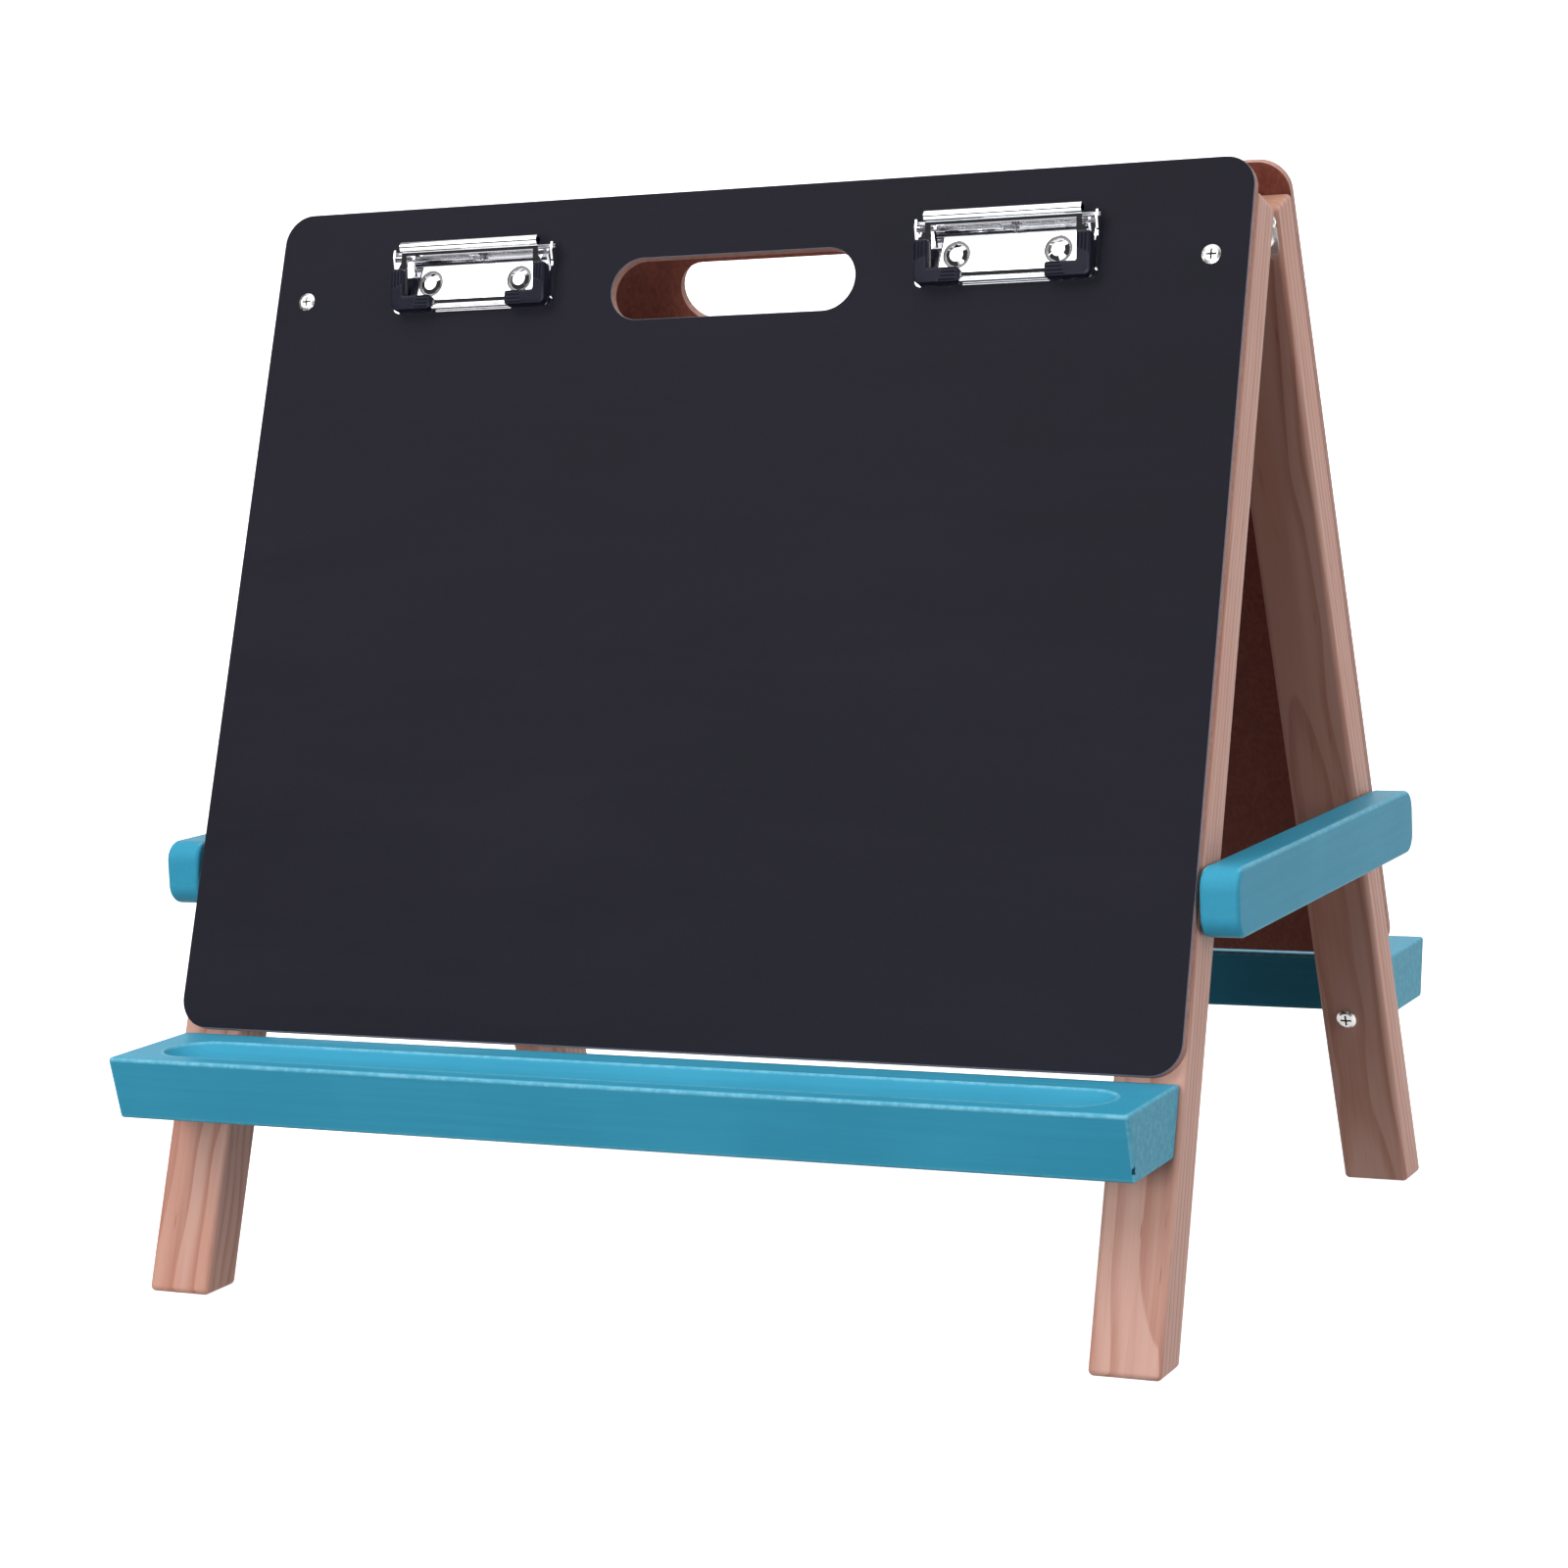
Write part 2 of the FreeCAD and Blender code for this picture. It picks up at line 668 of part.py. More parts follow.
def bar_bolt(hand, word):
    """The bolt a bar turns on: its head is on the leg's inner side and its end is in the bar's insert."""
    y, z = bar_pivot()
    reach = s.leg_width + s.bar_gap + s.insert_length - 0.5
    body = turned_piece(word + "_bar_bolt", [(0, -4.6), (3.6, -4.6), (5.2, -3.2), (5.2, -1.2),
                                             (s.bolt_radius, -1.2), (s.bolt_radius, reach - 1),
                                             (s.bolt_radius - 0.8, reach), (0, reach)])
    socket = new_sketch(body, "XY_Plane", word + "_bolt_socket", -4.6)
    draw_hexagon(socket, 2.0)
    pocket(body, socket, 2.0, word + "_bolt_socket_cut", back=True)
    return finish(point_sideways(body, hand, s.leg_outside - s.leg_width, y, z))


def draw_hexagon(sketch, half_across_flats):
    radius = half_across_flats / math.cos(math.pi / 6)
    draw_polygon(sketch, [(radius * math.cos(k * math.pi / 3), radius * math.sin(k * math.pi / 3))
                          for k in range(6)])


def bolt_drill(hand, word):
    """The leg's hole for the bolt, with running clearance."""
    y, z = bar_pivot()
    drill = doc.addObject("Part::Cylinder", word + "_bolt_drill")
    bind(drill, "Radius", s.bolt_radius + s.bolt_clearance)
    bind(drill, "Height", s.leg_width)
    return point_sideways(drill, hand, s.leg_outside - s.leg_width, y, z)


def bar_insert(hand, word):
    y, z = bar_pivot()
    body = turned_piece(word + "_bar_insert", [(s.bolt_radius, 0), (s.insert_radius, 0),
                                               (s.insert_radius, s.insert_length),
                                               (s.bolt_radius, s.insert_length)])
    return finish(point_sideways(body, hand, s.leg_outside + s.bar_gap, y, z))


def bar_washers(hand, word):
    """A washer beside the bar and one under the bolt's head."""
    y, z = bar_pivot()
    made = []
    for name, start, end, x in (("outer", 0.1, s.bar_gap, s.leg_outside),
                                ("inner", -1.2, -0.1, s.leg_outside - s.leg_width)):
        item = turned_piece("%s_%s_bar_washer" % (word, name), [(s.bolt_radius, start), (8.0, start), (8.0, end),
                                                                (s.bolt_radius, end)])
        made.append(point_sideways(item, hand, x, y, z))
    return finish(group(word + "_bar_washers", made))


def catch_pin(hand, word):
    """A plain pin pressed into the rear leg, with a chamfered end for the bar to drop over."""
    y, z = catch_place()
    reach = s.bar_gap + s.catch_reach
    body = turned_piece(word + "_bar_catch_pin", [(0, -22), (s.catch_radius, -22), (s.catch_radius, reach - 0.8),
                                                  (s.catch_radius - 0.8, reach), (0, reach)])
    return finish(point_sideways(body, hand, s.leg_outside, y, z))


# ---- hinges --------------------------------------------------------------------------------------------

def hinge_pin(hand, word):
    pin = doc.addObject("Part::Cylinder", word + "_hinge_pin")
    pin.Label = word + "_hinge_pin"
    bind(pin, "Radius", s.hinge_pin_radius)
    bind(pin, "Height", s.leaf_width + 1)
    return finish(point_sideways(pin, hand, s.leaf_outside - s.leaf_width - 0.5, 0, s.hinge_height))


def pin_drill(hand, word):
    """The rear leaf's bore, with running clearance round the pin."""
    drill = doc.addObject("Part::Cylinder", word + "_hinge_drill")
    bind(drill, "Radius", s.hinge_pin_radius + 0.06)
    bind(drill, "Height", s.leaf_width + 4)
    return point_sideways(drill, hand, s.leaf_outside - s.leaf_width - 2, 0, s.hinge_height)


def hinge_leaf(side, hand, word, tools):
    """A leaf on the leg's inner face: outer knuckles on the front leaf, a middle knuckle on the rear one."""
    body = new_body(word + "_leaf_shape")
    inner = s.leaf_outside - s.leaf_width if hand == RIGHT else -s.leaf_outside
    face = leg_back - s.leaf_depth
    clear = s.knuckle_radius + s.knuckle_gap
    plate = new_sketch(body, "YZ_Plane", word + "_leaf_plate", inner)
    draw_polygon(plate, [(side * leg_back, -s.leaf_length), (side * leg_back, -clear),
                         (side * face, -clear), (side * face, -s.leaf_length)])
    pad(body, plate, s.leaf_width, word + "_leaf_pad")
    round_edges(body, s.leaf_corner, lambda edge: runs_along(ACROSS)(edge) and edge.BoundBox.ZMax < -10,
                word + "_leaf_corners")
    third = s.leaf_width / 3
    spans = [(0, third - s.knuckle_gap / 2), (third * 2 + s.knuckle_gap / 2, third - s.knuckle_gap / 2)]
    if side == REAR:
        spans = [(third + s.knuckle_gap / 2, third - s.knuckle_gap)]
    for number, (start, length) in enumerate(spans, start=1):
        barrel = new_sketch(body, "YZ_Plane", "%s_knuckle_%d" % (word, number), inner + start)
        draw_circle(barrel, 0, 0, s.knuckle_radius)
        pad(body, barrel, length, "%s_barrel_%d" % (word, number))
        neck = new_sketch(body, "YZ_Plane", "%s_neck_%d" % (word, number), inner + start)
        draw_polygon(neck, [(side * leg_back, -clear - 0.5), (side * leg_back, 0), (side * face, 0),
                            (side * face, -clear - 0.5)])
        pad(body, neck, length, "%s_neck_pad_%d" % (word, number))
    lean_back(body, side)
    return finish(cut_away(body, tools, word + "_leaf"))


# ---- paper clips ---------------------------------------------------------------------------------------

def clip_place(item, side, x):
    return lean_back(item, side, x, board_face, clip_height)


def across_bar(name, side, x, radius, half):
    """A cylinder along the clip's pivot."""
    rod = doc.addObject("Part::Cylinder", name)
    rod.Label = name
    bind(rod, "Radius", radius)
    bind(rod, "Height", half * 2)
    rotate(rod, (0, 1, 0), 90)
    place_in_frame(rod, side, x - half, board_face + s.pivot_out, clip_height + s.pivot_above)
    return rod


def clip_base(side, word, x, tools):
    """The plate on the board; its turned-up sides rise into ears that carry the pivot pin."""
    body = new_body(word + "_base_shape")
    outline = new_sketch(body, "XZ_Plane", word + "_plate_outline")
    draw_polygon(outline, [(-s.plate_half, -s.plate_below), (s.plate_half, -s.plate_below),
                           (s.plate_half, s.plate_above), (-s.plate_half, s.plate_above)])
    pad(body, outline, s.plate_depth, word + "_plate", back=side == REAR)
    round_edges(body, s.plate_corner, runs_along(ACROSS), word + "_plate_corners")
    for across in (-s.rivet_out, s.rivet_out):
        dimple = new_sketch(body, "XZ_Plane", word + "_dimple_outline", -side * s.plate_depth)
        draw_circle(dimple, across, -s.rivet_below, s.dimple_radius)
        pocket(body, dimple, s.dimple_depth, word + "_dimple", back=side == REAR)
    for hand in HANDS:
        ear = new_sketch(body, "YZ_Plane", word + "_ear_outline",
                         s.plate_half - s.ear_depth if hand > 0 else -s.plate_half)
        draw_polygon(ear, [(side * 0.3, -s.plate_below + s.plate_corner), (side * 2.6, -s.plate_below + 4),
                           (side * 4.4, -4), (side * 6.6, 0.6), (side * 6.6, s.pivot_above + 1.2),
                           (side * 5.2, s.pivot_above + 2.2), (side * 3.0, s.pivot_above + 2.0),
                           (side * 0.3, s.plate_above - s.plate_corner)])
        pad(body, ear, s.ear_depth, word + "_ear")
    clip_place(body, side, x)
    return finish(cut_away(body, tools, word + "_base"))


def clip_jaw(side, word, x, tools):
    """A pressed frame: rolled thumb edge above, window in the middle, rolled lip below, cheeks on the pin."""
    body = new_body(word + "_jaw_shape")
    half = s.sheet_depth * 0.52
    section = new_sketch(body, "YZ_Plane", word + "_jaw_section")
    draw_polygon(section, [(side * (s.lip_out - half), -s.lip_below), (side * (s.lip_out + half), -s.lip_below),
                           (side * (s.roll_out + half), s.roll_above),
                           (side * (s.roll_out - half), s.roll_above)])
    pad(body, section, s.jaw_low_half * 2, word + "_jaw_sheet", both=True)
    window = new_sketch(body, "XZ_Plane", word + "_jaw_window")
    draw_polygon(window, [(-s.window_half, -s.window_below), (s.window_half, -s.window_below),
                          (s.window_half, s.window_above), (-s.window_half, s.window_above)])
    pocket(body, window, 60, word + "_jaw_window_cut", both=True)
    for hand in HANDS:
        flare = new_sketch(body, "XZ_Plane", word + "_jaw_flare")
        draw_polygon(flare, [(hand * s.jaw_top_half, s.roll_above + 1), (hand * s.jaw_top_half, -2),
                             (hand * s.jaw_low_half, -7), (hand * (s.jaw_low_half + 1), s.roll_above + 1)])
        pocket(body, flare, 60, word + "_jaw_flare_cut", both=True)
    for name, out, up, radius, width in (("lip", s.lip_out, -s.lip_below, s.lip_radius, s.jaw_low_half),
                                         ("roll", s.roll_out, s.roll_above, s.roll_radius, s.jaw_top_half)):
        tube = new_sketch(body, "YZ_Plane", "%s_jaw_%s" % (word, name))
        draw_circle(tube, side * out, up, radius)
        pad(body, tube, width * 2, "%s_jaw_%s_pad" % (word, name), both=True)
    for hand in HANDS:
        cheek = new_sketch(body, "YZ_Plane", word + "_jaw_cheek",
                           s.cheek_inside if hand > 0 else -s.cheek_inside - s.sheet_depth)
        draw_polygon(cheek, [(side * 2.7, s.pivot_above - 1.6), (side * 2.7, s.pivot_above + 1.6),
                             (side * 6.8, 6.2), (side * 9.2, 4.6), (side * 7.0, -5.2)])
        pad(body, cheek, s.sheet_depth, word + "_jaw_cheek_pad")
    bore = new_sketch(body, "YZ_Plane", word + "_jaw_bore")
    draw_circle(bore, side * s.roll_out, s.roll_above, s.roll_radius - s.sheet_depth)
    pocket(body, bore, s.jaw_top_half * 2, word + "_jaw_bore_cut", both=True)
    clip_place(body, side, x)
    return finish(cut_away(body, tools, word + "_jaw"))


def clip_guard(side, hand, word, x, jaw):
    """A plastic corner pushed over the jaw's frame: an upright arm and a level arm with finger ribs."""
    body = new_body(word + "_shape")
    near = s.guard_inside if hand > 0 else -s.guard_outside
    section = new_sketch(body, "YZ_Plane", word + "_section", near)
    draw_polygon(section, [(side * 1.5, -s.guard_foot), (side * 6.0, -s.guard_foot), (side * 9.4, -s.guard_top),
                           (side * 4.2, -s.guard_top), (side * 1.5, -s.guard_foot + 6.5)])
    pad(body, section, s.guard_outside - s.guard_inside, word + "_pad")
    corner = new_sketch(body, "XZ_Plane", word + "_corner")
    inner = s.guard_outside - s.guard_arm
    draw_polygon(corner, [(hand * (s.guard_inside - 1), -s.guard_foot + s.guard_arm),
                          (hand * inner, -s.guard_foot + s.guard_arm), (hand * inner, -s.guard_top + 1),
                          (hand * (s.guard_inside - 1), -s.guard_top + 1)])
    pocket(body, corner, 60, word + "_corner_cut", both=True)
    round_edges(body, 0.9, lambda edge: runs_along(ACROSS)(edge) or is_outer_guard_edge(edge, side),
                word + "_soft_edges")
    clip_place(body, side, x)
    return finish(cut_away(body, [jaw], word))


def clip_spring(side, word, x):
    """A torsion coil round the pin, one end bearing on the plate and one under the thumb edge."""
    pitch = s.coil_wire * 2.3
    coil = doc.addObject("Part::Helix", word + "_coil_line")
    bind(coil, "Pitch", pitch)
    bind(coil, "Height", pitch * s.coil_turns)
    bind(coil, "Radius", s.coil_radius)
    wire = doc.addObject("Part::Circle", word + "_coil_wire")
    bind(wire, "Radius", s.coil_wire)
    rotate(wire, (1, 0, 0), 90)
    place(wire, s.coil_radius, 0, 0)
    sweep = doc.addObject("Part::Sweep", word + "_spring")
    sweep.Label = word + "_spring"
    sweep.Sections = [wire]
    sweep.Spine = (coil, ["Edge1"])
    sweep.Solid = True
    sweep.Frenet = True
    rotate(sweep, (0, 1, 0), 90)
    place_in_frame(sweep, side, x - pitch * s.coil_turns / 2, board_face + s.pivot_out,
                   clip_height + s.pivot_above)
    return finish(sweep)


def paper_clip(side, hand):
    word = "%s_%s_clip" % (SIDE_WORDS[side], HAND_WORDS[hand])
    x = hand * s.clip_out
    rivets = finish(clip_rivets(side, word, x))
    pin = finish(across_bar(word + "_pin", side, x, s.clip_pin_radius, s.plate_half + 0.5))
    drill = across_bar(word + "_pin_drill", side, x, s.clip_pin_radius + 0.06, s.plate_half)
    clip_base(side, word, x, [rivets, pin])
    jaw = clip_jaw(side, word, x, [drill])
    for guard_hand in HANDS:
        clip_guard(side, guard_hand, "%s_%s_guard" % (word, HAND_WORDS[guard_hand]), x, jaw)
    clip_spring(side, word, x)
    return rivets


# ---- the easel -----------------------------------------------------------------------------------------

def easel_frame(side):
    word = SIDE_WORDS[side]
    finish(board_screws(side, word + "_board_screws"))
    on_board = [board_screws(side, word + "_board_screw_holes", recessed=False)]
    into_tray = finish(tray_screws(side, word))
    on_leaf = finish(hinge_screws(side, word))
    rivets = [paper_clip(side, hand) for hand in HANDS]
    board(side, word, on_board + rivets)
    tray(side, word, [into_tray])
    for hand in HANDS:
        hand_word = HAND_WORDS[hand]
        beside = bolt_drill(hand, hand_word) if side == FRONT else catch_pin(hand, hand_word)
        leg(side, hand, "%s_%s" % (word, hand_word), on_board + [into_tray, on_leaf, beside])
        core = hinge_pin(hand, hand_word) if side == FRONT else pin_drill(hand, hand_word)
        hinge_leaf(side, hand, "%s_hinge_%s" % (hand_word, word), [on_leaf, core])


def side_bars():
    for hand in HANDS:
        word = HAND_WORDS[hand]
        bolt = bar_bolt(hand, word)
        insert = bar_insert(hand, word)
        bar_washers(hand, word)
        side_bar(hand, word, [bolt, insert])


def check_and_write():
    doc.recompute()
    for item in doc.Objects:
        if "Invalid" in item.State or "Error" in item.State:
            raise RuntimeError("%s did not build: %s" % (item.Label, item.State))
    os.makedirs("parts", exist_ok=True)
    for item in finished:
        if item.Shape.isNull() or not item.Shape.isValid() or not item.Shape.Solids:
            raise RuntimeError("%s has no sound solid" % item.Label)
    for item in finished:
        item.Shape.exportStep("parts/%s.step" % item.Label)
        print("%-34s %d solid(s) %10.1f mm3" % (item.Label, len(item.Shape.Solids), item.Shape.Volume))
    print(len(finished), "nodes")


easel_frame(FRONT)
easel_frame(REAR)
side_bars()
check_and_write()
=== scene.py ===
import json
import math
import bpy
import numpy as np
from mathutils import Matrix, Vector


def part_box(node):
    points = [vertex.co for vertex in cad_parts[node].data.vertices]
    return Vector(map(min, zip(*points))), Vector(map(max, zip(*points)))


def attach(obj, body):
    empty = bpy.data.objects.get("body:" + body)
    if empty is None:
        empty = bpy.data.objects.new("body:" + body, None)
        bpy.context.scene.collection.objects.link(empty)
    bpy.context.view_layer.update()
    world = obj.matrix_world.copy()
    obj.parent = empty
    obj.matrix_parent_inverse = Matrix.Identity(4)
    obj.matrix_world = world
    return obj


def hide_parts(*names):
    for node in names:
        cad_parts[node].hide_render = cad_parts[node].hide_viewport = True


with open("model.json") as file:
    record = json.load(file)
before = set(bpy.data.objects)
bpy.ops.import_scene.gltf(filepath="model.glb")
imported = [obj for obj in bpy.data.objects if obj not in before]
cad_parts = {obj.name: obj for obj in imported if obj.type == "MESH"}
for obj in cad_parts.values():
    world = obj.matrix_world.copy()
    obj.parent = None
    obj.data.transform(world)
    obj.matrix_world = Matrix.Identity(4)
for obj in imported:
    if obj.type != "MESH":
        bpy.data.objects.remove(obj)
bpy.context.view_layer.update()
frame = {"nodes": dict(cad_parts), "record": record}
print("frame loaded:", len(frame["nodes"]), "nodes")

# Each frame of the easel leans out from the hinge line.
# side is -1 for the chalkboard frame and 1 for the whiteboard frame.
easel = {
    "lean": math.radians(19.5),
    "hingeHeight": 0.4244,
    "boardBack": 0.0235,       # distances outward from the hinge line, square to the frame
    "boardFace": 0.028,
    "clipLine": -0.0076,       # the clips' own level line, along the frame from the hinge line
    "clipOut": 0.1236,         # middle of the easel to the middle of a clip
    "pivotOut": 0.0043,        # a clip's pivot, out from the board's face
    "pivotAbove": 0.0028,      # and above its level line
}
sinLean = math.sin(easel["lean"])
cosLean = math.cos(easel["lean"])


# ---- shader helpers: one class for a value that flows between nodes, one for a material being made

class Flow:
    def __init__(self, finish, socket):
        self.finish = finish
        self.socket = socket

    def __add__(self, other):
        return self.finish.maths("ADD", self, other)

    def __radd__(self, other):
        return self.finish.maths("ADD", other, self)

    def __sub__(self, other):
        return self.finish.maths("SUBTRACT", self, other)

    def __rsub__(self, other):
        return self.finish.maths("SUBTRACT", other, self)

    def __mul__(self, other):
        return self.finish.maths("MULTIPLY", self, other)

    def __rmul__(self, other):
        return self.finish.maths("MULTIPLY", other, self)

    def __truediv__(self, other):
        return self.finish.maths("DIVIDE", self, other)

    def __pow__(self, other):
        return self.finish.maths("POWER", self, other)


class Finish:
    def __init__(self, name, **constants):
        self.material = bpy.data.materials.new(name)
        self.material.use_nodes = True
        self.tree = self.material.node_tree
        self.shader = self.tree.nodes["Principled BSDF"]
        for socketName, value in constants.items():
            self.shader.inputs[socketName.replace("_", " ")].default_value = value

    def node(self, kind, settings, inputs, output=0):
        made = self.tree.nodes.new(kind)
        for key, value in settings.items():
            setattr(made, key, value)
        for key, value in inputs.items():
            if isinstance(value, Flow):
                self.tree.links.new(value.socket, made.inputs[key])
            else:
                made.inputs[key].default_value = value
        return Flow(self, made.outputs[output])

    def maths(self, operation, *values):
        return self.node("ShaderNodeMath", {"operation": operation}, dict(enumerate(values)))

    def blend(self, factor, low, high):  # colours
        return self.node("ShaderNodeMix", {"data_type": "RGBA"}, {0: factor, 6: low, 7: high}, 2)

    def ease(self, value, low, high, start=0.0, end=1.0):
        # a smooth step from start to end as the value goes from low to high
        return self.node("ShaderNodeMapRange", {"interpolation_type": "SMOOTHSTEP"},
                         {0: value, 1: low, 2: high, 3: start, 4: end})

    def vector(self, x, y, z):
        return self.node("ShaderNodeCombineXYZ", {}, {0: x, 1: y, 2: z})

    def noise(self, place, scale, detail=3.0, rough=0.55, twist=0.0):
        return self.node("ShaderNodeTexNoise", {}, {"Vector": place, "Scale": scale, "Detail": detail,
                                                    "Roughness": rough, "Distortion": twist})

    def cells(self, place, scale):
        return self.node("ShaderNodeTexVoronoi", {}, {"Vector": place, "Scale": scale})

    def object(self):
        return self.node("ShaderNodeTexCoord", {}, {}, 3)

    def axes(self):
        place = self.object()
        return [self.node("ShaderNodeSeparateXYZ", {}, {0: place}, k) for k in range(3)]

    def leaning(self, side):  # x, distance outward from the hinge line, distance along the frame
        x, y, z = self.axes()
        height = z - easel["hingeHeight"]
        return x, y * (side * cosLean) + height * sinLean, height * cosLean - y * (side * sinLean)

    def connect(self, **flows):
        for socketName, flow in flows.items():
            self.tree.links.new(flow.socket, self.shader.inputs[socketName.replace("_", " ")])

    def bump(self, height, distance, strength=1.0):
        self.connect(Normal=self.node("ShaderNodeBump", {}, {"Height": height, "Distance": distance,
                                                             "Strength": strength}))


def rgb(red, green, blue):
    return (red, green, blue, 1.0)


# ---- boards: a coat on the face, a painted highlight line where it turns over the edge (on the white board that line is darker, a painted shade), raw fibreboard behind

# the edge-line colour is painted shading: a painted highlight on the chalk coat, a painted shade on the white
# coat
chalkCoat = {"dark": rgb(0.0100, 0.0096, 0.0155), "pale": rgb(0.0150, 0.0144, 0.0220),
             "line": rgb(0.20, 0.19, 0.24), "roughLow": 0.52, "roughHigh": 0.66, "specular": 0.07,
             "grainDistance": 0.00005}
wipeCoat = {"dark": rgb(0.78, 0.79, 0.80), "pale": rgb(0.84, 0.85, 0.86), "line": rgb(0.60, 0.58, 0.66),
            "roughLow": 0.10, "roughHigh": 0.18, "specular": 0.5, "grainDistance": 0.000012}
fibreBoard = {"edgeLow": rgb(0.36, 0.185, 0.150), "edgeHigh": rgb(0.54, 0.32, 0.27),
              "backLow": rgb(0.17, 0.040, 0.024), "backHigh": rgb(0.27, 0.072, 0.045)}


def boardFinish(name, side, coat):
    finish = Finish(name, Specular_IOR_Level=coat["specular"])
    x, out, along = finish.leaning(side)
    face, back = easel["boardFace"], easel["boardBack"]
    onFace = finish.ease(out, face - 0.00016, face - 0.00008)
    onLine = finish.ease(out, face - 0.0007, face - 0.0006)
    onBack = finish.ease(out, back + 0.00012, back + 0.00004)
    wiped = finish.noise(finish.vector(x * 5.0, along * 22.0, out), 1.0, 5.0, 0.6, 0.8)
    speckle = finish.noise(finish.object(), 1500.0, 2.0, 0.6)
    cloud = finish.noise(finish.object(), 9.0, 3.0, 0.5)
    tone = finish.ease(wiped * 0.5 + speckle * 0.25 + cloud * 0.25, 0.34, 0.66)
    coatColour = finish.blend(tone, coat["dark"], coat["pale"])
    fibres = finish.noise(finish.vector(x * 500.0, along * 500.0, out * 1600.0), 1.0, 4.0, 0.65)
    edge = finish.blend(finish.ease(fibres, 0.3, 0.7), fibreBoard["edgeLow"], fibreBoard["edgeHigh"])
    felt = finish.noise(finish.vector(x * 260.0, along * 180.0, out), 1.0, 5.0, 0.7, 1.5)
    raw = finish.blend(finish.ease(felt * 0.7 + cloud * 0.3, 0.35, 0.65), fibreBoard["backLow"],
                       fibreBoard["backHigh"])
    # the thin band between the raw edge and the coated face takes the edge-line colour: painted highlight on
    # the chalkboard, painted shade on the whiteboard
    outer = finish.blend(onLine, edge, finish.blend(onFace, coat["line"], coatColour))
    colour = finish.blend(onBack, outer, raw)
    coated = onLine * (1 - onBack)
    rough = finish.ease(tone, 0.0, 1.0, coat["roughLow"], coat["roughHigh"])
    finish.connect(Base_Color=colour, Roughness=0.82 - coated * (0.82 - rough))
    finish.bump(coated * speckle + (1 - coated) * (felt * 2.0 + fibres * 2.0), coat["grainDistance"])
    return finish.material


# ---- pine: growth rings around a heart off to one side, long fibres, a few resin flecks

pine = {"early": rgb(0.575, 0.335, 0.270), "warm": rgb(0.56, 0.285, 0.215), "late": rgb(0.36, 0.135, 0.088),
        "end": rgb(0.50, 0.26, 0.17), "knot": rgb(0.28, 0.10, 0.045), "ringGap": 0.0036, "heartOut": 0.034,
        "heartAcross": 0.016, "roughLow": 0.42, "roughHigh": 0.60,
        "legAcross": 0.211, "legDeep": 0.013,                        # a leg's middle, across and outward
        "knotAcross": 0.207, "knotDeep": 0.010, "knotDown": 0.16}    # where a knot sits


def pineFinish(name, side, hand, seed):
    finish = Finish(name, Specular_IOR_Level=0.3)
    x, out, along = finish.leaning(side)
    across = x * hand - (pine["legAcross"] + pine["heartAcross"]) + seed * 0.004
    deep = out - pine["legDeep"] + pine["heartOut"]
    drift = finish.noise(finish.vector(x * 9.0 + seed, out * 9.0, along * 3.2), 1.0, 3.0, 0.5)
    fromHeart = finish.maths("SQRT", across * across + deep * deep) + (drift - 0.5) * 0.026
    ring = finish.maths("FRACT", fromHeart / pine["ringGap"])
    lateWood = finish.ease(ring, 0.35, 0.93) * finish.ease(ring, 1.0, 0.95)
    fibre = finish.noise(finish.vector(x * 1500.0, out * 1500.0, along * 26.0 + seed), 1.0, 3.0, 0.6)
    streak = finish.noise(finish.vector(x * 210.0 + seed, out * 210.0, along * 5.0), 1.0, 4.0, 0.6)
    flush = finish.noise(finish.vector(x * 26.0 + seed * 2, out * 26.0, along * 4.0 - seed),
                         1.0, 2.0, 0.5, 0.6)
    fleck = finish.cells(finish.vector(x * 420.0, out * 420.0 + seed, along * 34.0), 1.0)
    duct = finish.ease(fleck, 0.16, 0.05) * finish.ease(streak, 0.46, 0.58)
    tone = finish.ease(lateWood * 0.30 + fibre * 0.30 + streak * 0.52 + duct * 0.45, 0.32, 1.02)
    body = finish.blend(finish.ease(flush, 0.46, 0.66), pine["early"], pine["warm"])
    body = finish.blend(tone, body, pine["late"])
    knotPlace = finish.vector(x * hand - pine["knotAcross"], out - pine["knotDeep"],
                              (along + pine["knotDown"] + seed * 0.037) * 0.55)
    knotReach = finish.node("ShaderNodeVectorMath", {"operation": "LENGTH"}, {0: knotPlace}, 1)
    knotted = finish.ease(knotReach + (drift - 0.5) * 0.004, 0.0052, 0.0034)
    body = finish.blend(knotted * 0.85, body, pine["knot"])
    height = finish.axes()[2]
    sawn = finish.maths("MAXIMUM", finish.ease(height, 0.0009, 0.0003),
                        finish.ease(along, 0.0040, 0.0044))
    colour = finish.blend(sawn * 0.75, body, pine["end"])
    finish.connect(Base_Color=colour,
                   Roughness=finish.ease(fibre, 0.2, 0.8, pine["roughLow"], pine["roughHigh"]) + sawn * 0.2)
    finish.bump(fibre * 0.4 + lateWood * 0.10 + streak * 0.2 - duct * 0.5, 0.00006, 0.7)
    return finish.material


# ---- teal paint on planed timber: roller stipple, grain that shows through, paler arrises from wear plus a painted highlight

paint = {"deep": rgb(0.037, 0.280, 0.425), "plain": rgb(0.044, 0.312, 0.470),
         # the pale arris colour: wear plus a painted highlight along the edges
         "thin": rgb(0.200, 0.500, 0.630), "bare": rgb(0.010, 0.045, 0.075),
         "roughLow": 0.40, "roughHigh": 0.47}
tray = {
    "troughMiddle": 0.0316,    # distances from the tray's back edge
    "topDepth": 0.0570,
    "troughRun": 0.194,        # middle of the tray to where the trough's round end starts
    "troughHalf": 0.0160,
    "knockDeep": 0.0054,       # the small knock on the front tray's corner, behind its front edge
    "knockHeight": 0.0835,
}
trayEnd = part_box("front_tray")[1][0]


